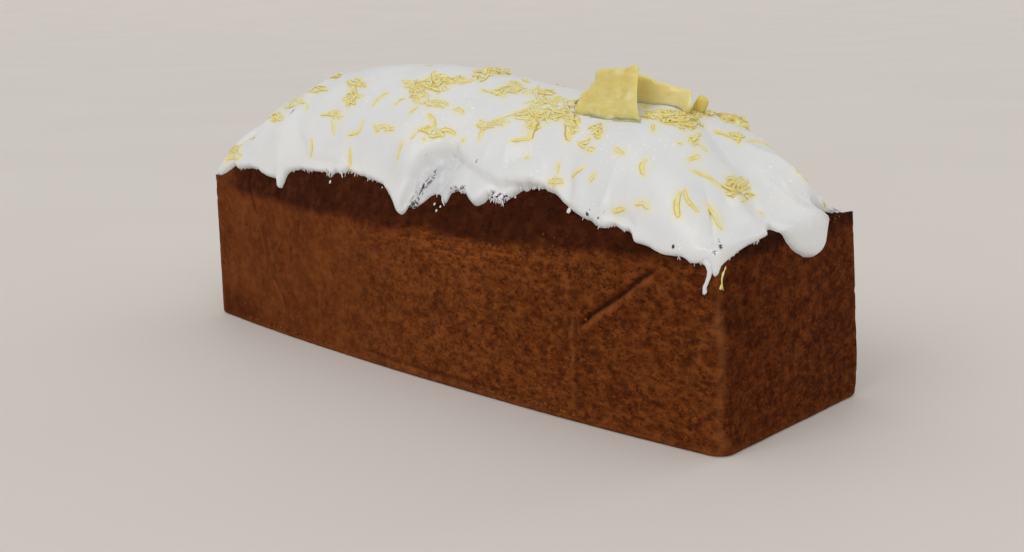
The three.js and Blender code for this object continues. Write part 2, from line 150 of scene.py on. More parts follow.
# Strips of dark pores in the icing: wall, points of (distance along the wall, height), half width
PORES = [
    (FRONT, [(157.2, 68.4), (159.4, 72.6)], 3.2), (FRONT, [(160, 74), (161.6, 77), (163.8, 80.6)], 1.8),
    (FRONT, [(197.6, 75.4), (205.4, 75.2)], 1.7), (FRONT, [(176.6, 76.2), (183.6, 77)], 0.8),
    (RIGHT, [(0.6, 67.6), (1.6, 68.4)], 0.6), (BACK, [(88, 72), (92, 73)], 1),
]

# Single dark holes in the icing: wall, distance along it, height, radius
HOLES = [
    (FRONT, 300, 66.6, 0.9), (FRONT, 285.6, 67, 0.6), (FRONT, 246.4, 73.1, 0.5), (FRONT, 247.4, 74.3, 0.35),
    (FRONT, 252.2, 72.2, 0.35), (FRONT, 254.6, 73.9, 0.3), (FRONT, 159.8, 85.4, 0.4),
    (FRONT, 187, 84.9, 0.3), (FRONT, 52.8, 95.1, 0.8), (BACK, 188, 79, 0.6),
]

# Folds and dips left in the icing as it was spread: x, y, radius, depth. A ridge has a depth below zero, and
# small ridges close the joint at the fruit's foot.
FOLDS = [
    (-119, -30, 8, 2), (-111, -25, 7, -1.2), (-139, -31, 8, -0.8), (-99, -14, 9, 1.4), (-88, -38, 8, -0.6),
    (-2, -38, 9, -1.0), (60, -38, 14, 0.8), (121, 0, 9, 1.6), (125, 3, 6, 0.9), (129, 37, 8, 1.6),
    (121, 32, 6, 0.8), (110, 24, 8, -1.0), (86, -1, 5, -0.6), (96, -2, 5, -0.7), (71, -17.5, 6, -0.4),
    (81, -20.5, 6, -0.5), (91, -21, 6, -0.5), (137, 40, 8, 2.0), (106, 16, 9, 1), (112, -46, 9, 0.9),
    (128, -24, 12, -0.5), (-30, 30, 16, 1.5), (60, 32, 15, 1.4), (-110, 28, 13, 1.3), (24, 38, 10, 1.8),
    (2, 38, 9, -1.0), (-70, 38, 10, 1.2), (104, 34, 9, 0.8),
]

# Laps where a thicker flow of icing ends over a thinner one: wall, depth, reach below the lap, the lap's line
LAPS = [
    (FRONT, 0.6, 6.0, [(64, 91), (70, 88), (76, 84.6), (80, 81.6), (86, 80.2), (94, 80), (104, 81)]),
    (FRONT, 0.5, 3.0, [(104, 81), (111, 82), (117, 81), (123, 79.6)]),
    (FRONT, 0.9, 3.0, [(231, 87), (233, 83), (236, 79), (239, 75)]),
    (FRONT, 1.0, 2.0, [(253, 75.8), (258, 73.6), (264, 73.8), (268, 72), (269.4, 68.5)]),
    (FRONT, 0.5, 2.5, [(268, 81.5), (272.8, 80.2), (278.4, 77.5), (282.4, 76.2), (288, 75.4)]),
    (BACK, 1.3, 4.0, [(40, 84), (56, 79), (76, 81), (90, 86)]),
    (BACK, 1.2, 4.0, [(182, 90), (196, 82), (220, 80), (240, 86)]),
]

# The hollow under the main flow, by the line that closes it above and to the left. Only a glaze of icing is
# left in it, with a thicker lobe and a knob (distance along the wall, height, radius) at its right, and the
# flow ends over it in a rounded edge.
HOLLOW = [
    (152.6, 64), (153.6, 71), (155.4, 78), (159.4, 84.4), (167, 87.4), (173.6, 87), (182.4, 83.8),
    (192, 80.8), (200, 78.9), (210, 79.4), (217, 79.6), (222, 81),
]
HOLLOW_GLAZE, HOLLOW_LOBE, HOLLOW_EDGE = 1.0, 1.9, 4.6
HOLLOW_ROUND, HOLLOW_EDGE_REACH, HOLLOW_END_REACH = 3.2, 15, 7
HOLLOW_LOBE_FROM, HOLLOW_LOBE_TO = 168, 184
HOLLOW_KNOB, HOLLOW_KNOB_PLACE = 0.7, (192, 76, 5)

# Swellings of the icing: wall, distance along it, height, radius, how far they stand out
SWELLINGS = [
    (RIGHT, 55, 62, 8, 0.8), (RIGHT, 58, 76, 8, 2.4), (RIGHT, 71, 80, 8, 3.4), (RIGHT, 68, 74, 5, 4.0),
    (FRONT, 240, 78, 3.2, 0.8), (FRONT, 253, 76, 2.4, 0.6), (BACK, 99, 58, 5, 0.7), (BACK, 236, 61, 5, 0.7),
    (LEFT, 49, 59, 5, 0.6),
]

# Where the crust's dome has sunk: x, y, radius, depth
SUNKEN = [(133, 38, 9, 2.2)]

# Creases that the tin's paper left: wall, points of (distance along the wall, height), depth, half width, lip
CREASES = [
    (FRONT, [(28, 74), (39, 57), (43, 52)], 1.3, 0.6, 0),
    (FRONT, [(43, 52), (53, 28), (66, 11)], 0.35, 0.8, 1),
    (FRONT, [(243, 35), (263, 49), (278, 60)], 1.3, 0.8, 1),
    (FRONT, [(238, 66), (241.4, 50), (242.4, 30)], 0.4, 0.8, 1.6),
    (FRONT, [(242.4, 34), (243, 6)], 0.25, 0.8, 2.2),
    (FRONT, [(224, 66.6), (231, 64.6), (237, 61.6)], 0.5, 0.8, 0.5),
    (FRONT, [(120, 5.4), (150, 4.6), (200, 4.2), (232, 4.8)], 0.6, 0.7, 0.6),
    (FRONT, [(285, 20), (293, 44)], 0.3, 1.2, 1), (RIGHT, [(62, 6), (58, 30)], 0.15, 0.9, 1),
    (BACK, [(70, 70), (74, 40), (71, 5)], 0.5, 1.1, 1), (BACK, [(20, 58), (58, 30)], 1.0, 0.9, 1),
    (BACK, [(246, 70), (232, 40), (226, 14)], 0.6, 0.8, 1), (BACK, [(110, 4), (190, 5)], 0.5, 0.8, 1),
    (LEFT, [(24, 68), (30, 36), (27, 8)], 0.6, 0.9, 1), (LEFT, [(66, 60), (60, 34)], 0.5, 0.8, 1),
]

# Rougher patches of the crust: side, least distance from the middle, x, half length, height, half height,
# strength
PATCHES = [(-1, 0, 36, 42, 59, 10, 1.0), (1, 30, -60, 40, 54, 12, 0.8)]

# A torn, lighter streak of the crust on the front, as (distance along the wall, height)
TORN = [(226, 66), (233, 63.6), (238, 60), (241, 52)]
TORN_HALF = 2.4

# Painted shade: how much darker each wall is painted than the front's left part, for the light that falls
# less on it, in the order of the walls
WALL_PAINTED_SHADE = np.array([0.10, 0.85, 0.3, 0.5])

# Layers of unevenness: the size of the lumps in millimetres, how high they stand, and a seed
CRUST_LUMPS = [(42, 0.5, 24), (11, 0.22, 25), (4, 0.10, 26)]
ICING_LUMPS = [(24, 0.32, 44), (10, 0.14, 45), (3.5, 0.03, 46)]
HEM_LUMPS = [(4.2, 0.9, 41), (2.1, 0.7, 42)]

# The camera: its place in the loaf's frame in millimetres, its angles in degrees, and its focal length and
# picture in the photograph's pixels
IMAGE_WIDTH, IMAGE_HEIGHT = 1024, 552
CAMERA_PLACE = np.array([355.3, -337.6, 144.2])
CAMERA_AZIMUTH, CAMERA_ELEVATION, CAMERA_ROLL = 45.394, 13.014, -1.821
FOCAL_PIXELS = 1179.5
SENSOR = 36.0


def camera_axes():
    """The camera's right, up and forward directions."""
    azimuth, elevation, roll = np.radians([CAMERA_AZIMUTH, CAMERA_ELEVATION, CAMERA_ROLL])
    flat = math.cos(elevation)
    forward = np.array([-math.sin(azimuth) * flat, math.cos(azimuth) * flat, -math.sin(elevation)])
    level = np.array([math.cos(azimuth), math.sin(azimuth), 0])
    above = np.cross(level, forward)
    right = math.cos(roll) * level + math.sin(roll) * above
    up = -math.sin(roll) * level + math.cos(roll) * above
    return right, up, forward


# ---------------------------------------------------------------- helpers


def smoothstep(values, low, high):
    """A soft step from 0 at low to 1 at high, which may also lie below low."""
    t = np.clip((values - low) / (high - low), 0, 1)
    return t * t * (3 - 2 * t)


def bell(distance, width):
    """A bell curve that is 1 at no distance."""
    return np.exp(-((distance / width) ** 2))


def spot(x, y, at_x, at_y, radius):
    """A round bell about a place."""
    return np.exp(-((x - at_x) ** 2 + (y - at_y) ** 2) / radius**2)


def noise(points, size, seed):
    """Smooth noise from -1 to 1 at each point, in lumps about size millimetres across, by a seed."""
    random = np.random.default_rng(seed)
    order = np.concatenate([random.permutation(256)] * 2)
    values = random.uniform(-1, 1, 256)
    place = np.asarray(points) / size + 512.0
    cell = np.floor(place).astype(int)
    t = place - cell
    t = t * t * t * (t * (t * 6 - 15) + 10)
    total = np.zeros(place.shape[:-1])
    for corner in np.ndindex(2, 2, 2):
        x, y, z = ((cell[..., i] + corner[i]) & 255 for i in range(3))
        weight = np.prod([t[..., i] if corner[i] else 1 - t[..., i] for i in range(3)], axis=0)
        total += weight * values[order[order[order[x] + y] + z]]
    return total


def layered(points, layers, base=0.0):
    """Noise in layers, each with its size, its strength and its seed, over a base."""
    total = base
    for size, strength, seed in layers:
        total = total + strength * noise(points, size, seed)
    return total


def to_frame(points):
    """Millimetres in the loaf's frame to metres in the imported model's frame."""
    return np.asarray(points) * MM + LOAF_CENTRE


def show(name, data):
    """A new object in the scene."""
    obj = bpy.data.objects.new(name, data)
    bpy.context.scene.collection.objects.link(obj)
    return obj


def smooth_mesh(name, points, faces, material):
    """A mesh of one material from points in metres and faces that share them."""
    mesh = bpy.data.meshes.new(name)
    mesh.from_pydata(points, [], faces)
    mesh.polygons.foreach_set("use_smooth", [True] * len(mesh.polygons))
    mesh.materials.append(material)
    return mesh


def make_object(name, points, faces, material):
    """An object from points in the loaf's frame, kept inside the CAD's box, and faces that share them."""
    inside = np.clip(to_frame(points), *(np.array(corner) for corner in cad_box))
    mesh = smooth_mesh(name, inside.tolist(), faces, material)
    mesh.validate()
    return show(name, mesh)


def face_outwards(obj, weld=0.0):
    """Turns the faces of closed shells outwards, after joining the points that meet within a distance."""
    mesh = bmesh.new()
    mesh.from_mesh(obj.data)
    if weld:
        bmesh.ops.remove_doubles(mesh, verts=mesh.verts, dist=weld)
        bmesh.ops.dissolve_degenerate(mesh, edges=mesh.edges, dist=weld / 2)
    bmesh.ops.recalc_face_normals(mesh, faces=mesh.faces)
    mesh.to_mesh(obj.data)
    mesh.free()
    obj.data.polygons.foreach_set("use_smooth", [True] * len(obj.data.polygons))


def add_attribute(obj, name, values):
    """Stores a value for each point, for the materials to read."""
    attribute = obj.data.attributes.new(name, "FLOAT", "POINT")
    attribute.data.foreach_set("value", np.asarray(values, np.float32).ravel())


def ring_faces(rows, columns):
    """Quads between the rows of a closed grid, facing out where rows run anticlockwise and climb."""
    faces = []
    for row in range(rows - 1):
        for column in range(columns):
            after = (column + 1) % columns
            low, high = row * columns, (row + 1) * columns
            faces.append((low + column, low + after, high + after, high + column))
    return faces


def tube_faces(rows, columns):
    """The faces of such a grid with both of its ends closed."""
    first = tuple(range(columns))
    last = tuple(range((rows - 1) * columns, rows * columns))
    return ring_faces(rows, columns) + [first[::-1], last]


# ---------------------------------------------------------------- the crust's surface


def wall_at(around):
    """Which wall a place round the loaf is on, and how far along that wall it is."""
    rest = np.mod(around, PERIMETER)
    wall = np.searchsorted(WALL_STARTS, rest, side="right") - 1
    return wall, rest - WALL_STARTS[wall]


def place_at(around):
    """Along and across run from -1 to 1 between the corners, and angle is where the wall faces."""
    wall, rest = wall_at(around)
    length = WALL_LENGTHS[wall]
    t = np.clip((rest - CORNER_RADIUS) / (length - 2 * CORNER_RADIUS), 0, 1) * 2 - 1
    turn = np.minimum(rest / CORNER_RADIUS - 1, 0) + np.maximum((rest - length) / CORNER_RADIUS + 1, 0)
    along = WALL_X[wall] - t * WALL_Y[wall]
    across = WALL_Y[wall] + t * WALL_X[wall]
    return along, across, np.radians(90.0 * wall - 90) + turn * math.pi / 4


def end_share(x):
    """How near to the loaf's ends a place is, from 0 in the middle to 1."""
    return np.minimum(np.abs(2 * x / LENGTH), 1)


def half_width(x):
    """Half the loaf's width at its base, where its long walls swell out."""
    return WIDTH / 2 + SWELL * (1 - end_share(x) ** SWELL_POWER)


def rim_height(x):
    """The height at which the walls meet the dome."""
    return MIDDLE_RIM + (END_RIM - MIDDLE_RIM) * end_share(x) ** RIM_POWER


def wall_point(place, z):
    """The wall's points at places and heights."""
    along, across, angle = place
    inset = FOOT_RADIUS - np.sqrt(FOOT_RADIUS**2 - np.maximum(FOOT_RADIUS - z, 0) ** 2)
    corner = np.where(along < 0, LEFT_CORNER_RADIUS, CORNER_RADIUS)
    radius = corner + (FOOT_CORNER - corner) * np.maximum(1 - z / FOOT_CORNER_HEIGHT, 0) ** 2
    leaning = z / END_RIM
    reach = LENGTH / 2 - inset - leaning * np.where(along > 0, LEAN_RIGHT, LEAN_LEFT)
    x = along * (reach - radius) + radius * np.cos(angle)
    half = half_width(x) - inset - leaning * LEAN_SIDE
    y = across * (half - radius) + radius * np.sin(angle)
    return np.stack(np.broadcast_arrays(x, y, z), axis=-1)


def dome_height(x, y):
    """The height of the crust over a point: a superellipse dome about the crest line."""
    crest_x = np.clip(x, CREST_FROM, CREST_TO)
    left = x < crest_x
    room = np.where(left, LENGTH / 2 - LEAN_LEFT + CREST_FROM, LENGTH / 2 - LEAN_RIGHT - CREST_TO)
    endwards = np.abs(x - crest_x) / room
    sidewards = np.abs(y) / (half_width(x) - LEAN_SIDE)
    square = CONTOUR_CREST + CONTOUR_RIM * np.minimum(np.maximum(endwards, sidewards), 1) ** CONTOUR_POWER
    end = endwards**square
    total = np.maximum(end + sidewards**square, 1e-12)
    out = np.minimum(total ** (1 / square), 1)
    share = end / total
    power = SIDE_FALL[0] + (np.where(left, LEFT_FALL[0], RIGHT_FALL[0]) - SIDE_FALL[0]) * share
    steep = SIDE_FALL[1] + (np.where(left, LEFT_FALL[1], RIGHT_FALL[1]) - SIDE_FALL[1]) * share
    crest_share = np.exp(-(np.abs((crest_x - CREST_AT) / CREST_SPREAD) ** CREST_POWER))
    crest = CREST_LOW + (CREST_HIGH - CREST_LOW) * crest_share
    rim = rim_height(x)
    return rim + (crest - rim) * (1 - out**power) ** steep


def crust_point(around, down):
    """Points of the crust: down is 0 at the crest line, 1 at the rim and 2 at the base."""
    around, down = np.broadcast_arrays(np.asarray(around, float), np.asarray(down, float))
    place = place_at(around)
    guess = wall_point(place, np.full(around.shape, END_RIM))
    rim = wall_point(place, dome_height(guess[..., 0], guess[..., 1]))
    low = wall_point(place, rim[..., 2] * np.clip(2 - down, 0, 1))
    share = np.minimum(down, 1)
    crest_x = np.clip(rim[..., 0], CREST_FROM, CREST_TO)
    x = crest_x + (rim[..., 0] - crest_x) * share
    y = rim[..., 1] * share
    high = np.stack([x, y, dome_height(x, y)], axis=-1)
    return np.where((down > 1)[..., None], low, high)


# Where the crust's direction is sampled about a point: millimetres round the loaf, and shares of its slope
NORMAL_TURNS = (0, -8, -4, 4, 8)
NORMAL_SHIFTS = (-0.08, 0.08)


def crust_normal(around, down, turns=NORMAL_TURNS):
    """The crust's outward direction, smoothed over its neighbourhood so that rim and corners are soft."""
    shifts = [(turn, 0) for turn in turns] + [(0, shift) for shift in NORMAL_SHIFTS]
    total = 0
    for turn, shift in shifts:
        at = np.clip(down + shift, 0.03, 1.9)
        onward = crust_point(around + turn + 2, at) - crust_point(around + turn - 2, at)
        upward = crust_point(around + turn, at - 0.02) - crust_point(around + turn, at + 0.02)
        normal = np.cross(onward, upward)
        total = total + normal / np.linalg.norm(normal, axis=-1, keepdims=True)
    return total / np.linalg.norm(total, axis=-1, keepdims=True)


def down_at_height(around, height):
    """How far down the crust reaches a height, at each distance round the loaf."""
    steps = np.linspace(0.05, 1.95, 400)
    heights = crust_point(np.atleast_1d(around)[:, None], steps)[..., 2]
    found = [np.interp(-z, -column, steps) for z, column in zip(np.atleast_1d(height), heights)]
    return np.array(found)


# ---------------------------------------------------------------- materials


class Nodes:
    """A short way to write a material's nodes, for a texture that keeps to the object's own place."""

    def __init__(self, name):
        self.material = bpy.data.materials.new(name)
        self.material.use_nodes = True
        self.tree = self.material.node_tree
        self.shader = self.tree.nodes["Principled BSDF"]
        self.place = self.add("ShaderNodeTexCoord").outputs["Object"]

    def add(self, kind, **settings):
        """A new node with these settings."""
        node = self.tree.nodes.new(kind)
        for name, value in settings.items():
            setattr(node, name, value)
        return node

    def link(self, value, socket):
        """Gives a socket another node's output or a plain value."""
        if isinstance(value, bpy.types.NodeSocket):
            self.tree.links.new(value, socket)
        else:
            socket.default_value = value

    def attribute(self, name):
        """A value that the piece stores for its points."""
        return self.add("ShaderNodeAttribute", attribute_name=name).outputs["Fac"]

    def noise(self, size_mm, detail=3.0, roughness=0.55, stretch=(1, 1, 1)):
        """Noise from 0 to 1 whose largest lumps are about size_mm across."""
        node = self.add("ShaderNodeTexNoise")
        mapping = self.add("ShaderNodeMapping")
        mapping.inputs["Scale"].default_value = stretch
        self.link(self.place, mapping.inputs["Vector"])
        self.link(mapping.outputs[0], node.inputs["Vector"])
        node.inputs["Scale"].default_value = 1000 / size_mm
        node.inputs["Detail"].default_value = detail
        node.inputs["Roughness"].default_value = roughness
        return node.outputs["Fac"]

    def ramp(self, value, low, high, start=0.0, end=1.0):
        """Start below low and end above high, with a soft step between."""
        node = self.add("ShaderNodeMapRange", interpolation_type="SMOOTHSTEP")
        for socket, given in zip(node.inputs[:5], (value, low, high, start, end)):
            self.link(given, socket)
        return node.outputs[0]

    def math(self, operation, *values):
        """Arithmetic on values."""
        node = self.add("ShaderNodeMath", operation=operation)
        for socket, value in zip(node.inputs, values):
            self.link(value, socket)
        return node.outputs[0]

    def mix(self, share, first, second, blend="MIX"):
        """The first colour with a share of the second over it."""
        node = self.add("ShaderNodeMix", data_type="RGBA", blend_type=blend)
        for name, value in (("Factor", share), ("A", first), ("B", second)):
            socket = next(s for s in node.inputs if s.name == name and s.enabled)
            self.link((*value, 1) if isinstance(value, tuple) else value, socket)
        return next(s for s in node.outputs if s.enabled)

    def bump(self, height, distance_mm, strength=1.0, under=None):
        """Relief so many millimetres high, over other relief."""
        node = self.add("ShaderNodeBump")
        node.inputs["Strength"].default_value = strength
        node.inputs["Distance"].default_value = distance_mm * MM
        self.link(height, node.inputs["Height"])
        if under is not None:
            self.link(under, node.inputs["Normal"])
        return node.outputs[0]

    def finish(self, **inputs):
        """The material, once its shader has these inputs."""
        for name, value in inputs.items():
            plain = isinstance(value, tuple) and len(value) == 3 and "Color" in name
            self.link((*value, 1) if plain else value, self.shader.inputs[name.replace("_", " ")])
        return self.material


# Colours of the crust, the icing and the rest, as linear red, green and blue
CRUST = {
    "deep": (0.124, 0.0295, 0.0068), "warm": (0.164, 0.0425, 0.0096), "golden": (0.215, 0.060, 0.0135),
    "fleck": (0.270, 0.078, 0.018), "grain": (0.290, 0.085, 0.020), "patch": (0.330, 0.088, 0.016),
    "pit": (0.062, 0.0145, 0.0042), "pore": (0.048, 0.0110, 0.0034), "band": (0.044, 0.0092, 0.0032),
    "band_light": (0.076, 0.0175, 0.0055), "band_dark": (0.022, 0.0055, 0.0025), "painted_shade": (0.56, 0.46, 0.30),
    "wear_and_highlight": (0.26, 0.095, 0.032), "lit": (0.30, 0.095, 0.028), "groove_shade": (0.030, 0.008, 0.003),
}
ICING = {
    "cool": (0.808, 0.826, 0.840), "white": (0.850, 0.862, 0.865), "glaze": (0.60, 0.60, 0.63),
    "pore": (0.045, 0.028, 0.024), "painted_glint": (1.0, 1.0, 1.0), "juice": (0.93, 0.84, 0.45),
}
ZEST_YELLOW, ZEST_PALE = (0.96, 0.80, 0.23), (0.98, 0.91, 0.47)
ZEST_ORANGE, ZEST_PORE = (0.97, 0.72, 0.15), (0.98, 0.93, 0.62)
CRUMB_DARK, CRUMB_LIGHT, CRUMB_PORE = (0.110, 0.028, 0.0070), (0.270, 0.080, 0.0200), (0.050, 0.012, 0.004)
FRUIT_DEEP, FRUIT_LIGHT = (0.72, 0.585, 0.165), (0.78, 0.67, 0.24)
FRUIT_FIBRE, FRUIT_PALE = (0.85, 0.79, 0.46), (0.88, 0.80, 0.44)
FLOOR_DARK, FLOOR_LIGHT = (0.79, 0.745, 0.70), (0.81, 0.765, 0.72)


def crust_material():
    """A browned crust: mottled and flecked, darker under the icing, lighter where it is torn or worn, with
    painted shade on the walls that get less light and in the creases and pits, and a painted highlight along
    the corners.
    """
    m = Nodes("crust")
    broad = m.noise(26, 3)
    mottle = m.noise(6, 5, 0.62)
    fleck = m.noise(2.5, 5, 0.66, stretch=(0.66, 0.66, 0.95))
    grain = m.noise(1.25, 3, 0.65, stretch=(0.75, 0.75, 1.0))
    fibre = m.noise(2.6, 5, 0.68, stretch=(0.3, 1, 1.7))
    rough = m.attribute("rough")

    def flecked(under, tone, low, high, start, end, name):
        """Flecks of a colour where the crust is rough, by how high or low a noise is."""
        return m.mix(m.math("MULTIPLY", m.ramp(tone, low, high, start, end), rough), under, CRUST[name])

    colour = m.mix(m.ramp(broad, 0.35, 0.68), CRUST["deep"], CRUST["warm"])
    colour = m.mix(m.ramp(mottle, 0.42, 0.66, 0, 0.6), colour, CRUST["golden"])
    colour = flecked(colour, fleck, 0.49, 0.66, 0, 0.8, "fleck")
    colour = flecked(colour, grain, 0.56, 0.70, 0, 0.6, "grain")
    streak = m.math("MULTIPLY", m.attribute("patch"), m.ramp(fibre, 0.47, 0.60))
    colour = m.mix(streak, colour, CRUST["patch"])
    colour = flecked(colour, fleck, 0.34, 0.50, 0.8, 0, "pit")
    colour = flecked(colour, grain, 0.33, 0.46, 0.8, 0, "pore")
    band = m.mix(m.ramp(mottle, 0.4, 0.7), CRUST["band"], CRUST["band_light"])
    band = m.mix(m.ramp(fleck, 0.35, 0.5, 0.7, 0), band, CRUST["band_dark"])
    colour = m.mix(m.attribute("band"), colour, band)
    # Painted shade: the walls and stretches that get less light are darkened by a share of this colour
    colour = m.mix(m.attribute("painted_shade"), colour, CRUST["painted_shade"], blend="MULTIPLY")
    # Last marks: lighter wear with a painted highlight at the corners, the painted highlight on the creases'
    # lips, and painted shade in the creases and pits
    for mark in ("wear_and_highlight", "lit", "groove_shade"):
        colour = m.mix(m.attribute(mark), colour, CRUST[mark])
    bump = m.bump(m.math("MULTIPLY", grain, rough), 0.55, 0.9)
    bump = m.bump(m.math("MULTIPLY", fleck, rough), 0.90, 0.8, under=bump)
    bump = m.bump(mottle, 0.8, 0.5, under=bump)
    return m.finish(Base_Color=colour, Roughness=m.ramp(mottle, 0.3, 0.7, 0.82, 0.62), Normal=bump,
                    Specular_IOR_Level=0.03)


def icing_material():
    """White sugar icing, a little translucent, with a grey glaze, dark pores, painted glints and yellow juice
    in places.
    """
    m = Nodes("icing")
    cloud = m.noise(22, 2)
    fine = m.noise(1.3, 2, 0.5)
    pores = m.attribute("pores")
    colour = m.mix(m.ramp(cloud, 0.35, 0.7), ICING["cool"], ICING["white"])
    glaze = m.math("MULTIPLY", m.attribute("glaze"), m.ramp(m.noise(4, 3), 0.35, 0.65, 0.35, 0.9))
    colour = m.mix(glaze, colour, ICING["glaze"])
    spots = m.math("MULTIPLY", m.ramp(pores, 0.12, 0.42), m.ramp(m.noise(1.7, 3, 0.75), 0.50, 0.56))
    colour = m.mix(m.math("MAXIMUM", spots, m.ramp(pores, 0.6, 0.8)), colour, ICING["pore"])
    # Painted glints: clusters of tiny white spots painted into the colour
    painted_glint = m.math("MULTIPLY", m.ramp(m.noise(30, 2), 0.50, 0.60), m.ramp(m.noise(1.0, 1), 0.66, 0.70))
    colour = m.mix(painted_glint, colour, ICING["painted_glint"])
    colour = m.mix(m.attribute("juice"), colour, ICING["juice"])
    bump = m.bump(m.noise(8, 2), 0.30, 0.25, under=m.bump(fine, 0.04, 0.4))
    return m.finish(Base_Color=colour, Roughness=m.ramp(cloud, 0.3, 0.7, 0.30, 0.42), Normal=bump,
                    Subsurface_Weight=0.30, Subsurface_Radius=(0.0020, 0.0019, 0.0018), Subsurface_Scale=1.0,
                    Coat_Weight=0.15, Coat_Roughness=0.18, Specular_IOR_Level=0.40)


def zest_material():
    """Lemon zest, with some of it orange."""
    m = Nodes("zest")
    pores = m.noise(0.6, 2)
    colour = m.mix(m.ramp(m.noise(3.0, 2), 0.38, 0.62), ZEST_YELLOW, ZEST_PALE)
    colour = m.mix(m.attribute("orange"), colour, ZEST_ORANGE)
    colour = m.mix(m.ramp(pores, 0.50, 0.70, 0, 0.45), colour, ZEST_PORE)
    return m.finish(Base_Color=colour, Roughness=0.42, Normal=m.bump(pores, 0.10, 0.6),
                    Subsurface_Weight=0.15, Subsurface_Radius=(0.0008, 0.0006, 0.0002), Subsurface_Scale=1.0)


def crumb_material():
    """Dry crumbs of the crust."""
    m = Nodes("crumbs")
    grain = m.noise(0.5, 3)
    colour = m.mix(m.ramp(m.noise(2.2, 3), 0.35, 0.65), CRUMB_DARK, CRUMB_LIGHT)
    colour = m.mix(m.ramp(grain, 0.35, 0.48, 0.7, 0), colour, CRUMB_PORE)
    return m.finish(Base_Color=colour, Roughness=0.8, Normal=m.bump(grain, 0.3, 0.8), Specular_IOR_Level=0.05)


def fruit_material():
    """Candied fruit: pale, glossy and translucent, with fibres."""
    m = Nodes("candied_fruit")
    fibre = m.noise(1.6, 3, 0.6, stretch=(0.35, 1, 1))
    colour = m.mix(m.ramp(m.noise(7, 3), 0.3, 0.7), FRUIT_DEEP, FRUIT_LIGHT)
    colour = m.mix(m.ramp(fibre, 0.5, 0.75, 0, 0.35), colour, FRUIT_FIBRE)
    # Paler where the fruit has pale patches, and on the wedge also painted light that lifts its shade
    colour = m.mix(m.attribute("pale"), colour, FRUIT_PALE)
    return m.finish(Base_Color=colour, Roughness=m.ramp(fibre, 0.3, 0.7, 0.24, 0.42),
                    Normal=m.bump(fibre, 0.25, 0.5), Subsurface_Weight=0.8,
                    Subsurface_Radius=(0.0040, 0.0034, 0.0014), Subsurface_Scale=1.0,
                    Coat_Weight=0.2, Coat_Roughness=0.15)


def floor_material():
    """A plain, light floor."""
    m = Nodes("floor")
    colour = m.mix(m.ramp(m.noise(300, 2), 0.3, 0.7), FLOOR_DARK, FLOOR_LIGHT)
    return m.finish(Base_Color=colour, Roughness=0.6, Specular_IOR_Level=0.3)


# ---------------------------------------------------------------- the loaf


def round_distance(around, at):
    """The distance from a place round the loaf, which closes on itself."""
    return np.mod(around - at + PERIMETER / 2, PERIMETER) - PERIMETER / 2


def corner_distance(around):
    """The distance round the loaf to the nearest corner."""
    return np.min([np.abs(round_distance(around, corner)) for corner in WALL_STARTS], axis=0)


def side_of_line(x, y, points):
    """The distance to a line, above zero on its left, and from there the way along it to its nearer end."""
    nearest = np.full(np.broadcast(x, y).shape, 1e9)
    side = np.ones(nearest.shape)
    place = np.zeros(nearest.shape)
    start = 0.0
    for (x0, y0), (x1, y1) in zip(points, points[1:]):
        dx, dy = x1 - x0, y1 - y0
        long = math.hypot(dx, dy)
        t = np.clip(((x - x0) * dx + (y - y0) * dy) / long**2, 0, 1)
        away = np.hypot(x - x0 - t * dx, y - y0 - t * dy)
        closer = away < nearest
        nearest = np.where(closer, away, nearest)
        side = np.where(closer, np.where(dx * (y - y0) - dy * (x - x0) > 0, 1, -1), side)
        place = np.where(closer, start + t * long, place)
        start += long
    return nearest * side, np.minimum(place, start - place)


# A crease's lip: how far beside the crease it lies and how wide it is, in half widths of the crease
LIP_BESIDE, LIP_WIDTH = 2.4, 1.1


def crease_depth(around, z, wobble):
    """How deep the creases are, and how far the lips on their right are raised."""
    wall, rest = wall_at(around)
    depth, lip = np.zeros(z.shape), np.zeros(z.shape)
    for side, points, deep, half, raised in CREASES:
        above, from_end = side_of_line(rest + wobble, z, points)
        here = np.where(wall == side, deep * smoothstep(from_end, -1, 5), 0)
        depth += here * bell(above, half)
        lip += raised * here * bell(above + LIP_BESIDE * half, LIP_WIDTH * half)
    return depth, lip


def crust_relief(around, points):
    """How deep the crust's creases, pores and unevenness reach, with the masks that colour them."""
    x, y, z = np.moveaxis(points, -1, 0)
    wall, rest = wall_at(around)
    warp = 0.9 * noise(points, 9, 11)
    crease, lip = crease_depth(around, z, warp)
    patch = 0
    for side, beyond, at_x, half_long, at_z, half_high, strength in PATCHES:
        near = np.exp(-(((x - at_x) / half_long) ** 2) - ((z - at_z) / half_high) ** 2)
        patch = patch + strength * near * (side * y > beyond)
    patch += 0.35 * smoothstep(noise(points, 30, 5), 0.1, 0.7)
    patch += bell(side_of_line(rest + 2 * warp, z, TORN)[0], TORN_HALF) * (wall == FRONT)
    patch = np.clip(patch, 0, 1)
    above_rim = smoothstep(z - rim_height(x), -2, 4)
    uneven = layered(points, CRUST_LUMPS, 0.2)
    uneven += above_rim * (0.5 * noise(points, 6, 27) + 0.3)
    uneven = uneven * (1 - 0.8 * bell(corner_distance(around), 5))
    raised = 0.2 * lip * (0.8 + noise(points, 3, 28))
    pits = np.maximum(noise(points, 2.6, 21) - 0.42, 0) * 1.5
    streaks = 0.14 * noise(points * [0.35, 0.35, 1], 2.2, 23)
    depth = uneven + crease - raised + pits * (0.45 + 0.9 * patch) + streaks * (0.4 + 1.6 * patch)
    for at_x, at_y, radius, sunk in SUNKEN:
        depth = depth + sunk * spot(x, y, at_x, at_y, radius)
    return depth, crease, lip, patch, pits, above_rim, warp


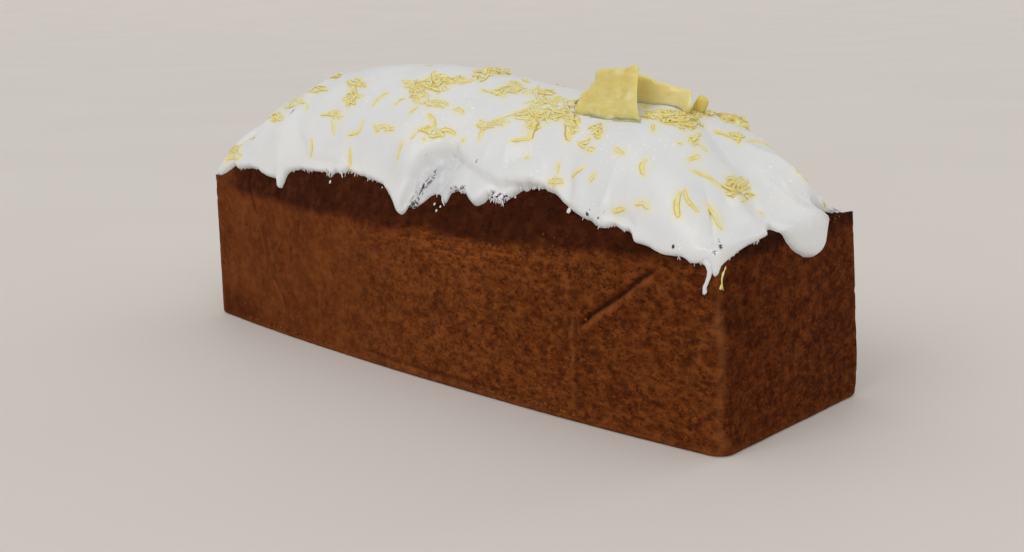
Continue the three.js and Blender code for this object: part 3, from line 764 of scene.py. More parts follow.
# The loaf's grid: columns round it, and rows up its walls in millimetres and on over its dome
LOAF_COLUMNS = 860
LOAF_FOOT_ROWS = [0, 0.25, 0.8, 1.6, 2.5]
LOAF_WALL_START, LOAF_WALL_PITCH = 3.4, 0.92
LOAF_DOME_ROWS, LOAF_DOME_SHARE, LOAF_DOME_POWER = 22, 0.2, 1.6
LOAF_HIDDEN_ROWS = (0.72, 0.58, 0.42, 0.24, 0.03)

# How high the foot of the wall stays nearly plain, and how far wear reaches from a corner, where it is also a
# painted highlight on the rounded edge, and from the base
PLAIN_FOOT = 2.5
CORNER_WEAR_AND_HIGHLIGHT_HALF, BASE_WEAR_HALF = 2.2, 2.0


def loaf_piece(material):
    """The loaf, with its relief and the masks that colour it."""
    around = (np.arange(LOAF_COLUMNS) * PERIMETER / LOAF_COLUMNS)[None, :]
    walls = np.concatenate([LOAF_FOOT_ROWS, np.arange(LOAF_WALL_START, MIDDLE_RIM, LOAF_WALL_PITCH)])
    dome = 1 - LOAF_DOME_SHARE * (np.arange(LOAF_DOME_ROWS) / LOAF_DOME_ROWS) ** LOAF_DOME_POWER
    down = np.concatenate([2 - walls / MIDDLE_RIM, dome, LOAF_HIDDEN_ROWS])[:, None]
    around, down = np.broadcast_arrays(around, down)
    points = crust_point(around, down)
    normal = crust_normal(around, down, turns=(0,))
    z = points[..., 2]
    depth, crease, lip, patch, pits, above_rim, warp = crust_relief(around, points)
    standing = smoothstep(z, 0.0, PLAIN_FOOT)
    sideways = normal * np.stack([np.ones_like(z), np.ones_like(z), standing], axis=-1)
    points = points - sideways * (depth * (0.35 + 0.65 * standing))[..., None]
    obj = make_object("cake_loaf", points.reshape(-1, 3), tube_faces(*around.shape), material)

    x = points[..., 0]
    band_edge = z - (rim_height(x) - 1.5 - 4 * end_share(x) ** 6) - 1.4 * noise(points, 13, 31) - 1.2 * warp
    band = 0.95 * smoothstep(band_edge, -2.2, 3.2) * (1 - 0.65 * smoothstep(x, -118, -140))
    wall, rest = wall_at(around)
    front = wall == FRONT
    # Painted shade: darker low at the front's left end, towards the front's right end and on the walls that
    # get less light, with a little random tone
    low_left = 0.9 * smoothstep(rest, 60, 10) * smoothstep(z, 22, 4)
    painted_shade = WALL_PAINTED_SHADE[wall] + front * 0.24 * smoothstep(rest, 150, 285) + front * low_left
    # Lighter wear at the corners and the base; at the corners it is also a painted highlight on the rounded
    # edge
    wear_and_highlight = bell(corner_distance(around), CORNER_WEAR_AND_HIGHLIGHT_HALF) * (0.25 + 0.5 * noise(points, 5, 32))
    wear_and_highlight += bell(z, BASE_WEAR_HALF) * 0.25
    add_attribute(obj, "band", band)
    add_attribute(obj, "painted_shade", np.clip(painted_shade + 0.12 * noise(points, 30, 33), 0, 1))
    add_attribute(obj, "patch", patch)
    add_attribute(obj, "rough", 0.22 + 0.78 * smoothstep(x, -90, 66))
    # Painted shade in the creases and pits
    add_attribute(obj, "groove_shade", np.clip(crease * 0.75 + pits * 0.45, 0, 0.9))
    add_attribute(obj, "lit", np.clip(lip * (0.55 + 0.9 * noise(points, 2.6, 34)), 0, 0.55))
    add_attribute(obj, "wear_and_highlight", np.clip(wear_and_highlight * (1 - above_rim), 0, 0.6))
    return obj


# ---------------------------------------------------------------- the icing


def smooth_curve(points, at):
    """A smooth curve through listed (place, value) points that never passes beyond them."""
    places, values = np.array(points, float).T
    runs = np.diff(places)
    grades = np.diff(values) / runs
    slopes = np.zeros(len(places))
    before, after = grades[:-1], grades[1:]
    onward = before * after > 0
    slopes[1:-1][onward] = 2 * before[onward] * after[onward] / (before + after)[onward]
    i = np.clip(np.searchsorted(places, at, side="right") - 1, 0, len(places) - 2)
    t = (at - places[i]) / runs[i]
    ends = values[i] + (values[i + 1] - values[i]) * t * t * (3 - 2 * t)
    return ends + runs[i] * t * (1 - t) * (slopes[i] * (1 - t) - slopes[i + 1] * t)


# How ragged the hem is beside its frayed stretches
LEAST_RAGGED = 0.10


def hem_height(around):
    """The height of the icing's lower edge, with its frayed stretches."""
    wall, rest = wall_at(around)
    hem = np.choose(wall, [smooth_curve(HEM[side], rest) for side in (FRONT, RIGHT, BACK, LEFT)])
    ragged = np.full(np.shape(around), LEAST_RAGGED)
    for side, low, high, _, _, amount in FRAYED:
        inside = np.minimum(rest - low, high - rest)
        ragged = np.maximum(ragged, np.where(wall == side, amount * smoothstep(inside, 0, 4), 0))
    ring = np.asarray(around) * 2 * math.pi / PERIMETER
    circle = np.stack([np.cos(ring), np.sin(ring), np.zeros_like(ring)], axis=-1) * PERIMETER / (2 * math.pi)
    return hem + ragged * layered(circle, HEM_LUMPS)


# The hem's thickness, how far in it is rounded, and how many columns either way its nearest point may be
HEM_LIP, HEM_ROUND = 2.1, 2.3
HEM_WINDOW = 24


def hem_distance(around, hem, up):
    """How far inside the hem each (column, row) lies, measured squarely to the hem's line."""
    nearest = np.full(up.shape, 1e9)
    columns = np.arange(len(around))
    for shift in range(-HEM_WINDOW, HEM_WINDOW):
        first, second = (columns + shift) % len(around), (columns + shift + 1) % len(around)
        x0, x1 = round_distance(around[first], around), round_distance(around[second], around)
        y0, dx, dy = hem[first], x1 - x0, hem[second] - hem[first]
        t = np.clip((-x0 * dx + (up - y0) * dy) / (dx * dx + dy * dy), 0, 1)
        nearest = np.minimum(nearest, np.hypot(x0 + t * dx, up - y0 - t * dy))
    return np.where(up >= hem, nearest, -nearest)


# A lap: how far its upper edge is rounded, and the dip behind it by its share, its place and its width
LAP_ROUND = 1.4
LAP_DIP, LAP_DIP_AT, LAP_DIP_WIDTH = 0.35, 3.6, 2.8


def lap_profile(above, reach):
    """The step in thickness at a lap, from -1 just below it to a little more than 0 above it."""
    over = bell(above, LAP_ROUND) - LAP_DIP * bell(above - LAP_DIP_AT, LAP_DIP_WIDTH)
    return -np.where(above < 0, bell(above, reach), over)


def rounded(share):
    """A quarter circle's rise from 0 to 1."""
    return np.sqrt(1 - (1 - np.clip(share, 0, 1)) ** 2)


def hollow_out(wall, rest, points, full):
    """The thickness with the hollow under the main flow, and the glaze's share."""
    z = points[..., 2]
    above, from_end = side_of_line(rest, z, HOLLOW)
    hollow = np.where(wall == FRONT, smoothstep(from_end, 0, HOLLOW_END_REACH), 0)
    lobe = smoothstep(rest, HOLLOW_LOBE_FROM, HOLLOW_LOBE_TO)
    lower = HOLLOW_GLAZE + (HOLLOW_LOBE - HOLLOW_GLAZE) * lobe
    lower = lower + 0.3 * noise(points, 6, 47) + HOLLOW_KNOB * spot(rest, z, *HOLLOW_KNOB_PLACE)
    upper = np.maximum(full, HOLLOW_EDGE * bell(np.maximum(above, 0), HOLLOW_EDGE_REACH))
    stepped = lower + (upper - lower) * rounded(above / HOLLOW_ROUND)
    glaze = hollow * smoothstep(above, 0, -2) * smoothstep(rest, HOLLOW_LOBE_TO, HOLLOW_LOBE_FROM)
    return full + (stepped - full) * hollow, glaze


def icing_thickness(around, points, inside):
    """The icing's thickness by how far inside the hem points of the crust lie, and the glaze's share."""
    x, y, z = np.moveaxis(points, -1, 0)
    wall, rest = wall_at(around)
    full = HEM_LIP + (TOP_THICKNESS - HEM_LIP) * smoothstep(inside, 0, HEM_BAND)
    shaped = smoothstep(inside, 0.5, 7)
    away_from_corners = smoothstep(corner_distance(around), 0, 14)
    for at_x, at_y, radius, depth in FOLDS:
        full = full - shaped * depth * spot(x, y, at_x, at_y, radius)
    for side, depth, reach, line in LAPS:
        above, from_end = side_of_line(rest, z, line)
        step = depth * smoothstep(from_end, 0, 7) * lap_profile(above, reach)
        full = full + np.where(wall == side, step, 0) * smoothstep(inside, 0.3, 2.5) * away_from_corners
    for side, at, height, radius, amount in SWELLINGS:
        swelling = amount * spot(rest, z, at, height, radius)
        full = full + np.where(wall == side, swelling, 0) * rounded(inside / 5)
    full = full + shaped * layered(points, ICING_LUMPS)
    full, glaze = hollow_out(wall, rest, points, full)
    share = CORNER_SHARE * smoothstep(x, -60, 60) + 0.12
    corner = share * bell(corner_distance(around), CORNER_REACH)
    corner = 1 - corner * smoothstep(inside, CORNER_TO, CORNER_FROM)
    lip = rounded(inside / (HEM_ROUND * np.clip(full / HEM_LIP, 0.5, 1.2)))
    over = np.maximum(full, ICING_THINNEST) * corner * lip
    return np.where(inside > 0, over, np.maximum(1.35 * inside, ICING_BURIED)), glaze


# The icing's grid: pitch round the loaf, rows in millimetres from the hem, and rows on over the top and
# under it
ICING_PITCH = 0.56
ICING_HEM_ROWS = (-1.1, -0.35, 0, 0.14, 0.36, 0.66, 1.02, 1.44, 1.9, 2.45, 3.1, 3.85, 4.7, 5.7)
ICING_TOP_ROWS, ICING_UNDER_ROWS = 38, 5

# The icing's least thickness, how far its edge is buried in the crust, and how many times as far its
# underside is
ICING_THINNEST, ICING_BURIED, UNDERSIDE_BURIED = 0.6, -1.5, 1.4

# Shares down the crust, from its crest to below the lowest drip, at which the way down to the hem is measured
CREST_STEPS = np.concatenate([np.linspace(0, 0.9, 60), np.linspace(0.903, 1.4, 240)])

# Points of the icing this close together, in metres, are one point
WELD = 2e-6

# How dark the strips of pores are beside single holes
STRIP_STRENGTH = 0.5


def icing_columns():
    """Places round the loaf, the same along the front and the back so that they meet on the crest line."""
    long = np.arange(round(LENGTH / ICING_PITCH)) * LENGTH / round(LENGTH / ICING_PITCH)
    short = np.arange(round(WIDTH / ICING_PITCH)) * WIDTH / round(WIDTH / ICING_PITCH)
    return np.concatenate([long, LENGTH + short, LENGTH + WIDTH + long, 2 * LENGTH + WIDTH + short])


def pore_mask(around, z):
    """How dark the icing is with pores and holes."""
    wall, rest = wall_at(around)
    pores = np.zeros(z.shape)
    for side, line, half in PORES:
        strip = STRIP_STRENGTH * bell(side_of_line(rest, z, line)[0], half)
        pores = np.maximum(pores, np.where(wall == side, strip, 0))
    for side, at, height, radius in HOLES:
        hole = smoothstep(np.hypot(rest - at, z - height), radius + 0.35, radius - 0.25)
        pores = np.maximum(pores, np.where(wall == side, hole, 0))
    return pores


def icing_piece(material):
    """The icing, with rows that follow its hem and close under it."""
    around = icing_columns()
    walk = crust_point(around[:, None], CREST_STEPS)
    strides = np.linalg.norm(np.diff(walk, axis=1), axis=-1)
    length = np.concatenate([np.zeros((len(around), 1)), strides.cumsum(1)], 1)
    heights = walk[..., 2]
    total = np.array([np.interp(-z, -h, along) for z, h, along in zip(hem_height(around), heights, length)])
    datum = np.array([np.interp(-END_RIM, -h, along) for h, along in zip(heights, length)])
    hem_rows = np.array(ICING_HEM_ROWS)
    share = np.linspace(0, 1, ICING_TOP_ROWS + 1)[1:, None]
    back = np.concatenate([hem_rows[:, None] + 0 * total, hem_rows[-1] + share * (total - hem_rows[-1])])
    down = np.array([np.interp(t - b, along, CREST_STEPS) for t, b, along in zip(total, back.T, length)]).T
    inside = hem_distance(around, datum - total, datum - total + back)
    around = np.broadcast_to(around, down.shape)

    points = crust_point(around, down)
    thickness, glaze = icing_thickness(around, points, inside)
    follow = crust_relief(around, points)[0] * smoothstep(thickness, 2.6, 0.8)
    outer = points + crust_normal(around, down) * (thickness - follow)[..., None]
    crest_x = points[-1, :, 0]
    outer[-1] = np.stack([crest_x, np.zeros_like(crest_x), points[-1, :, 2] + thickness[-1]], axis=-1)
    under_down = np.linspace(0.0, 1.0, ICING_UNDER_ROWS)[:, None] * down[0]
    under_around = np.broadcast_to(around[0], under_down.shape)
    under_normal = crust_normal(under_around, under_down)
    under = crust_point(under_around, under_down) + under_normal * UNDERSIDE_BURIED * ICING_BURIED
    under[0] = outer[-1] - [0, 0, TOP_THICKNESS - ICING_BURIED]
    under[-1] = outer[0]
    grid = np.concatenate([under[:-1], outer])
    obj = make_object("cake_icing", grid.reshape(-1, 3), ring_faces(*grid.shape[:2]), material)
    hidden = np.zeros((len(grid) - len(outer), len(crest_x)))
    add_attribute(obj, "pores", np.concatenate([hidden, pore_mask(around, points[..., 2])]))
    add_attribute(obj, "glaze", np.concatenate([hidden, glaze]))
    face_outwards(obj, WELD)
    return obj


# ---------------------------------------------------------------- strands: zest, strings of icing, crumbs


class Strands:
    """Many small tapered tubes joined in one mesh."""

    def __init__(self):
        self.points, self.faces, self.orange, self.count = [], [], [], 0

    def add(self, path, widths, heights, up, twist=0.0, orange=0.0, sides=6):
        """A tube along a path: its half widths and half heights at each point, and which way is up."""
        path = np.asarray(path, float)
        ahead = np.gradient(path, axis=0)
        ahead /= np.linalg.norm(ahead, axis=1, keepdims=True) + 1e-9
        side = np.cross(ahead, up)
        side /= np.linalg.norm(side, axis=1, keepdims=True) + 1e-9
        top = np.cross(side, ahead)
        angles = np.arange(sides) * 2 * math.pi / sides
        spin = np.linspace(0, twist, len(path))
        for i, centre in enumerate(path):
            across = side[i] * math.cos(spin[i]) + top[i] * math.sin(spin[i])
            upright = top[i] * math.cos(spin[i]) - side[i] * math.sin(spin[i])
            wide = np.outer(np.cos(angles) * widths[i], across)
            high = np.outer(np.sin(angles) * heights[i], upright)
            self.points.extend(centre + (wide + high))
        for face in tube_faces(len(path), sides):
            self.faces.append(tuple(self.count + corner for corner in face))
        self.orange.extend([orange] * len(path) * sides)
        self.count += len(path) * sides

    def build(self, name, material):
        """The piece, with how orange each strand is."""
        obj = make_object(name, np.array(self.points), self.faces, material)
        face_outwards(obj)
        add_attribute(obj, "orange", self.orange)
        return obj


def tapered(count, tip=0.35):
    """A width profile that runs out at both ends."""
    t = np.linspace(-1, 1, count)
    return tip + (1 - tip) * np.sqrt(1 - t**6)


def on_crust(around, height, lift):
    """Points over the crust at places round the loaf and heights, with the crust's directions there."""
    around = np.atleast_1d(np.asarray(around, float))
    height = np.atleast_1d(np.asarray(height, float))
    down = down_at_height(around, height)
    normal = crust_normal(around, down, turns=(0,))
    return crust_point(around, down) + normal * np.asarray(lift)[..., None], normal


# The wavy string of icing that hangs by the near corner: distance along the front, height and half width
WAVY_STRING = [
    (296.4, 64.4, 1.5), (297.6, 62.8, 1.1), (298, 61.1, 0.9), (297.6, 59.3, 0.75), (296.8, 57.4, 0.66),
    (296, 55.8, 0.7), (296, 54.4, 0.8), (295.6, 53.5, 0.5),
]

# Half widths along a fine string and down a droplet, and the heights down a droplet, in its radius
STRING_WIDTHS = np.array([1.5, 1.5, 1.25, 1.0, 0.8, 0.75, 0.5])
DROPLET_WIDTHS = np.array([0.15, 0.6, 0.9, 1.0, 0.8, 0.3])
DROPLET_HEIGHTS = np.array([1.15, 0.8, 0.3, -0.3, -0.8, -1.1])

# A fine string starts this far above the hem, and none hangs where the hem climbs more than this over 2 mm
STRING_START = 1.1
STEEPEST_HEM = 2.0


def fine_string(strings, start, longest, random):
    """A fine string of icing that hangs from the hem."""
    t = np.linspace(0, 1, len(STRING_WIDTHS))
    slant = random.normal(0.35, 0.6)
    long = longest * random.uniform(0.35, 1) ** 1.5
    bend = random.normal(0, 0.25)
    radius = random.uniform(0.14, 0.36)
    around = start + slant * long * t + bend * np.sin(math.pi * t)
    hem = hem_height(start + np.array([-1.0, 0.0, 1.0]))
    if abs(hem[2] - hem[0]) > STEEPEST_HEM:
        return
    down = down_at_height(start, hem[1:2])
    fall = crust_point(np.array([start]), down + 0.004)[0] - crust_point(np.array([start]), down)[0]
    steep = -fall[2] / np.linalg.norm(fall)
    height = hem[1] + (STRING_START - (long + STRING_START) * t) * steep
    path, normal = on_crust(around, height, 0.9 * (1 - t) * radius * 2 - 0.1)
    width = radius * STRING_WIDTHS
    strings.add(path, width, width * 0.9, normal[3])


def icing_strings(material):
    """Fine strings and droplets at the icing's hem, and the wavy string."""
    strings = Strands()
    random = np.random.default_rng(71)
    for side, low, high, count, longest, _ in FRAYED:
        for _ in range(count):
            fine_string(strings, WALL_STARTS[side] + random.uniform(low, high), longest, random)
    for side, at, height, radius in DROPLETS:
        around = np.full(len(DROPLET_HEIGHTS), WALL_STARTS[side] + at)
        lift = np.full(len(around), 0.15 * radius)
        path, normal = on_crust(around, height + radius * DROPLET_HEIGHTS, lift)
        strings.add(path, radius * DROPLET_WIDTHS, radius * np.full(len(around), 0.7), normal[3], sides=10)
    around, height, width = np.array(WAVY_STRING).T
    path, normal = on_crust(around, height, np.full(len(around), 0.5))
    strings.add(path, width, width * 0.75, normal[3], sides=10)
    return strings.build("icing_strings", material)


def screen_ray(px, py):
    """The direction from the camera through a pixel of the picture."""
    right, up, forward = camera_axes()
    across, above = px - IMAGE_WIDTH / 2, IMAGE_HEIGHT / 2 - py
    way = forward + right * across / FOCAL_PIXELS + up * above / FOCAL_PIXELS
    return way / np.linalg.norm(way)


# How many pixels below a given one the surface is looked for, and up to how many count as on it
PIXELS_BELOW, PIXELS_CLOSE = 12, 2
OVER_THE_CAKE = 200.0


class Ground:
    """Finds points on the icing, the loaf and the fruit, in the loaf's frame in millimetres."""

    def __init__(self, objects):
        self.trees = []
        for obj in objects:
            corners = [vertex.co for vertex in obj.data.vertices]
            self.trees.append(BVHTree.FromPolygons(corners, [face.vertices for face in obj.data.polygons]))

    def add(self, points, faces):
        """Lets later pieces lie on these faces too."""
        self.trees.append(BVHTree.FromPolygons([Vector(point) for point in to_frame(points)], faces))

    def cast(self, origin, way):
        """The first point that a ray meets, with the surface's direction there, or None."""
        start = Vector(to_frame(origin))
        hits = [tree.ray_cast(start, Vector(way)) for tree in self.trees]
        hits = [hit for hit in hits if hit[0] is not None]
        if not hits:
            return None
        place, normal, _, _ = min(hits, key=lambda hit: hit[3])
        return (np.array(place) - LOAF_CENTRE) / MM, np.array(normal)

    def under_pixel(self, px, py):
        """The surface point that the photograph shows at a pixel, with its direction, or None."""
        return self.cast(CAMERA_PLACE, screen_ray(px, py))

    def seen_at(self, px, py):
        """The surface point at a pixel, or the point over the surface a little below it, or None."""
        for lower in range(PIXELS_BELOW):
            hit = self.under_pixel(px, py + lower)
            if hit is not None:
                reach = np.linalg.norm(hit[0] - CAMERA_PLACE)
                return CAMERA_PLACE + screen_ray(px, py) * reach if lower > PIXELS_CLOSE else hit[0]
        return None

    def route(self, pixels):
        """The surface points at those pixels that have one."""
        return [point for point in (self.seen_at(*pixel) for pixel in pixels) if point is not None]

    def below(self, x, y):
        """The highest surface point at a place, with its direction, or None."""
        return self.cast(np.array([x, y, OVER_THE_CAKE]), (0, 0, -1))

    def nearest(self, point):
        """The nearest surface point and its direction."""
        found = [tree.find_nearest(Vector(to_frame(point))) for tree in self.trees]
        place, normal, _, _ = min(found, key=lambda hit: hit[3])
        return (np.array(place) - LOAF_CENTRE) / MM, np.array(normal)


# Strands of zest by the pixels that they run through: half width in millimetres, then the pixels
ZEST = [
    (0.45, [(354, 60), (356, 70)]), (0.45, [(350, 64), (358, 69)]), (0.5, [(331, 75), (342, 71)]),
    (0.5, [(334, 70), (339, 77)]), (0.5, [(373, 66), (381, 64)]), (0.5, [(425, 66), (432, 65)]),
    (0.9, [(434, 71), (438, 84)]), (0.5, [(402, 80), (411, 83), (420, 82)]),
    (0.8, [(409, 85), (426, 86), (441, 83)]), (0.8, [(411, 94), (428, 95)]),
    (0.6, [(419, 82), (432, 78), (452, 79)]), (0.8, [(458, 84), (474, 80)]),
    (0.55, [(482, 89), (492, 90), (503, 95)]), (0.6, [(499, 89), (515, 92)]), (0.6, [(509, 81), (518, 86)]),
    (0.7, [(372, 106), (380, 98), (388, 93)]), (0.9, [(348, 81), (363, 86)]), (0.9, [(353, 82), (355, 92)]),
    (0.9, [(346, 105), (355, 97)]), (0.5, [(394, 105), (400, 99), (405, 98)]),
    (0.5, [(409, 113), (418, 106)]), (0.4, [(426, 106), (434, 103), (445, 108)]),
    (0.4, [(433, 100), (438, 107)]), (0.5, [(453, 109), (464, 114)]),
    (0.6, [(428, 114), (434, 120), (435, 127)]), (0.6, [(435, 127), (427, 128), (421, 128)]),
    (0.6, [(421, 128), (416, 133), (411, 139)]), (0.65, [(402, 142), (400, 150), (397, 160)]),
    (0.6, [(438, 131), (447, 132), (456, 135)]), (0.5, [(327, 115), (336, 113), (340, 120)]),
    (0.6, [(332, 117), (335, 125), (334, 134)]), (0.5, [(363, 120), (360, 132), (348, 135)]),
    (0.45, [(384, 131), (392, 128)]), (0.55, [(310, 139), (311, 148), (310, 157)]),
    (0.5, [(350, 148), (350, 168)]), (0.6, [(479, 140), (484, 128), (487, 122)]),
    (0.5, [(486, 125), (500, 121), (518, 113)]), (0.5, [(514, 113), (523, 112), (532, 114)]),
    (1.6, [(528, 141), (531, 130), (534, 119)]), (0.35, [(525, 157), (529, 157)]),
    (0.5, [(283, 104), (297, 105)]), (0.5, [(271, 117), (279, 111)]), (0.5, [(312, 91), (323, 90)]),
    (0.5, [(295, 96), (304, 93)]), (0.4, [(307, 104), (306, 111)]), (0.5, [(249, 139), (256, 136)]),
    (0.6, [(226, 164), (233, 150), (243, 144)]), (0.6, [(230, 158), (236, 147)]),
    (0.6, [(524, 79), (529, 83)]), (0.9, [(523, 94), (533, 90)]), (0.5, [(534, 88), (558, 94)]),
    (0.8, [(524, 103), (540, 101), (560, 102)]), (0.7, [(538, 121), (546, 116), (553, 113)]),
    (1.5, [(569, 112), (569, 126), (570, 141)]), (0.6, [(574, 117), (578, 124)]),
    (0.8, [(583, 144), (590, 138)]), (0.8, [(597, 131), (601, 138)]), (0.6, [(587, 149), (594, 151)]),
    (0.5, [(615, 148), (624, 154)]), (0.6, [(646, 159), (643, 167), (645, 175)]),
    (0.5, [(558, 164), (557, 173)]), (0.6, [(572, 177), (583, 168)]), (0.5, [(590, 182), (595, 173)]),
    (0.8, [(554, 180), (563, 184)]), (0.6, [(613, 212), (619, 209), (625, 209)]),
    (0.5, [(635, 205), (641, 204), (649, 209)]), (0.6, [(680, 191), (680, 205), (679, 218)]),
    (0.4, [(685, 189), (691, 199), (699, 212)]), (0.75, [(708, 204), (716, 215), (722, 230)]),
    (0.6, [(692, 170), (708, 178), (724, 189)]), (0.5, [(688, 161), (700, 156)]),
    (0.5, [(691, 137), (702, 146)]), (0.5, [(703, 146), (706, 152)]), (0.5, [(678, 142), (682, 144)]),
    (0.6, [(714, 131), (727, 134), (740, 141)]), (0.4, [(747, 141), (760, 143), (772, 148)]),
    (0.35, [(653, 124), (654, 132)]), (0.5, [(801, 163), (804, 170)]), (0.5, [(807, 172), (811, 178)]),
    (0.6, [(824, 195), (825, 207)]), (0.5, [(642, 105), (648, 108)]), (0.35, [(759, 212), (762, 214)]),
    (0.35, [(424, 137), (425, 140)]), (0.35, [(462, 139), (464, 141)]), (0.5, [(388, 130), (394, 129)]),
    (0.5, [(273, 122), (278, 121)]), (0.4, [(240, 146), (247, 142)]),
]

# Clumps of zest: middle and half sizes in pixels, how many strands, how high they heap in millimetres, how
# orange they are
CLUMPS = [
    (497, 69, 13, 4, 80, 0.8, 0.2), (481, 76, 8, 4, 12, 0.5, 0.2), (420, 86, 13, 5, 44, 0.3, 0.25),
    (439, 83, 10, 9, 44, 0.5, 0.2), (455, 80, 10, 3, 12, 0.3, 0.2), (418, 95, 9, 3, 14, 0.2, 0.2),
    (356, 84, 7, 4, 14, 0.3, 0.5), (352, 98, 8, 6, 22, 0.4, 0.5), (425, 103, 10, 5, 7, 0.2, 0.2),
    (503, 91, 11, 4, 14, 0.3, 0.2), (514, 87, 8, 5, 14, 0.3, 0.3), (541, 92, 11, 4, 12, 0.3, 0.3),
    (548, 101, 15, 3, 22, 0.3, 0.2), (534, 112, 12, 4, 28, 0.3, 0.3), (549, 115, 13, 5, 56, 0.4, 0.3),
    (565, 114, 8, 5, 18, 0.3, 0.3), (532, 125, 6, 6, 12, 0.3, 0.4), (524, 116, 7, 4, 10, 0.3, 0.2),
    (573, 104, 6, 5, 10, 0.4, 0.3), (571, 124, 4, 10, 14, 0.3, 0.4), (596, 128, 7, 2, 4, 0.3, 0.3),
    (655, 115, 11, 4, 20, 0.4, 0.3), (674, 118, 13, 7, 80, 0.7, 0.45), (686, 125, 8, 5, 22, 0.5, 0.45),
    (692, 114, 9, 5, 30, 0.5, 0.4), (712, 112, 6, 4, 12, 0.8, 0.4), (735, 117, 13, 4, 84, 0.8, 0.7),
    (723, 112, 7, 3, 30, 0.8, 0.6), (700, 124, 7, 3, 7, 0.3, 0.3), (735, 137, 8, 3, 7, 0.3, 0.4),
    (735, 186, 8, 9, 40, 0.5, 0.6), (744, 194, 5, 4, 8, 0.3, 0.4), (697, 141, 7, 4, 5, 0.3, 0.2),
    (336, 74, 6, 3, 7, 0.6, 0.3), (318, 90, 8, 3, 7, 0.3, 0.2), (293, 101, 9, 5, 12, 0.4, 0.3),
    (274, 117, 6, 5, 9, 0.3, 0.3), (232, 153, 5, 8, 22, 0.4, 0.5), (333, 116, 6, 3, 6, 0.2, 0.3),
    (556, 181, 5, 2, 3, 0.2, 0.3), (440, 105, 7, 4, 4, 0.2, 0.1), (378, 128, 5, 3, 4, 0.2, 0.2),
    (428, 130, 6, 4, 5, 0.2, 0.2), (436, 133, 6, 2, 4, 0.2, 0.2), (497, 122, 9, 3, 6, 0.2, 0.2),
    (484, 124, 5, 4, 6, 0.2, 0.2), (521, 141, 4, 2, 2, 0.2, 0.3), (583, 144, 4, 3, 4, 0.3, 0.3),
    (596, 133, 4, 4, 5, 0.3, 0.3), (558, 182, 5, 2, 3, 0.2, 0.2),
]

# Heaps of zest over a core: middle and half width in pixels, half height in millimetres
HEAPS = [(491, 72, 9, 2.5), (502, 73, 9, 2.3), (726, 118, 8, 2.8), (739, 121, 9, 3.1)]

# The strands that hang at the near corner: half width in millimetres and pixels, and how orange they are
HANGING_ZEST = [(0.4, [(726, 266), (724, 273), (722, 281), (723.5, 291)]), (0.3, [(722, 284), (720.5, 290)])]
HANGING_ORANGE = 0.1

# Zest on the side away from the camera: x, y, spread, how many, and the lowest and the nearest that any lies
FAR_ZEST = [(-50, 26, 34, 50), (30, 24, 34, 46), (88, 26, 20, 30), (-104, 18, 20, 24), (0, 36, 60, 24)]
FAR_ZEST_LOWEST, FAR_ZEST_NEAREST = 80, 4

# A strand: the points along it, how far down it may settle, how deep it sinks in, how much wider it is than
# its listed half width, and how thick it is at most and beside its half width
STRAND_POINTS = 11
SETTLE_REACH = 8
STRAND_SUNK = 0.03
ZEST_WIDENING = 1.35
STRAND_THICKEST, STRAND_THICKNESS = 0.11, 0.22

# Strands in clumps: their half widths in millimetres, half lengths in pixels, and the widest gap they span
CLUMP_HALVES, CLUMP_LENGTHS = (0.26, 0.58), (3.0, 9.0)
WIDEST_SPAN = 14

# Zest on the far side: half widths and half lengths in millimetres
FAR_HALVES, FAR_LENGTHS = (0.4, 0.8), (1.5, 5)

# The juice's strength in the icing, and how far it reaches from the zest in millimetres
JUICE_STRENGTH, JUICE_REACH = 0.62, 1.3


def lump(strands, middle, along, up, radius, random):
    """A small uneven lump."""
    t = np.linspace(-1, 1, 5)
    swell = np.sqrt(1 - 0.88 * t**2) * random.uniform(0.75, 1.1, 5)
    path = middle + np.outer(t * radius, along) + np.outer(random.normal(0, 0.12, 5) * radius, up)
    heights = radius * swell * random.uniform(0.6, 0.95)
    strands.add(path, radius * swell, heights, up, random.normal(0, 0.5), sides=7)


def lay_strand(strands, ground, random, route, half, orange, heap=0.0):
    """A ribbon over points of the surface, half sunk in it, a little curled and tapered."""
    route = np.array(route)
    t = np.linspace(0, 1, STRAND_POINTS)
    knots = np.linspace(0, 1, len(route))
    path = np.stack([np.interp(t, knots, route[:, i]) for i in range(3)], axis=1)
    for _ in range(2):
        path[1:-1] = (path[:-2] + 2 * path[1:-1] + path[2:]) / 4
    up = ground.nearest(path[STRAND_POINTS // 2])[1]
    settled = np.array([ground.nearest(p)[0] for p in path])
    near = np.linalg.norm(path - settled, axis=1) < SETTLE_REACH
    path = np.where(near[:, None], settled, path)
    length = np.linalg.norm(np.diff(path, axis=0), axis=1).sum()
    side = np.cross(path[-1] - path[0], up)
    side /= np.linalg.norm(side) + 1e-9
    curl = random.normal(0, 0.07) * length * min(1, 0.6 / half)
    lift = heap - STRAND_SUNK + random.uniform(-0.03, 0.10) * np.sin(math.pi * t)
    path = path + np.outer(curl * np.sin(math.pi * t), side) + np.outer(lift, up)
    uneven = 1 + 0.16 * random.normal(size=STRAND_POINTS)
    widths = ZEST_WIDENING * half * tapered(STRAND_POINTS, 0.2) * uneven
    thick = min(STRAND_THICKEST, STRAND_THICKNESS * half)
    heights = np.full(STRAND_POINTS, thick) * tapered(STRAND_POINTS, 0.5)
    strands.add(path, widths, heights, up, random.normal(0, 0.3), orange)


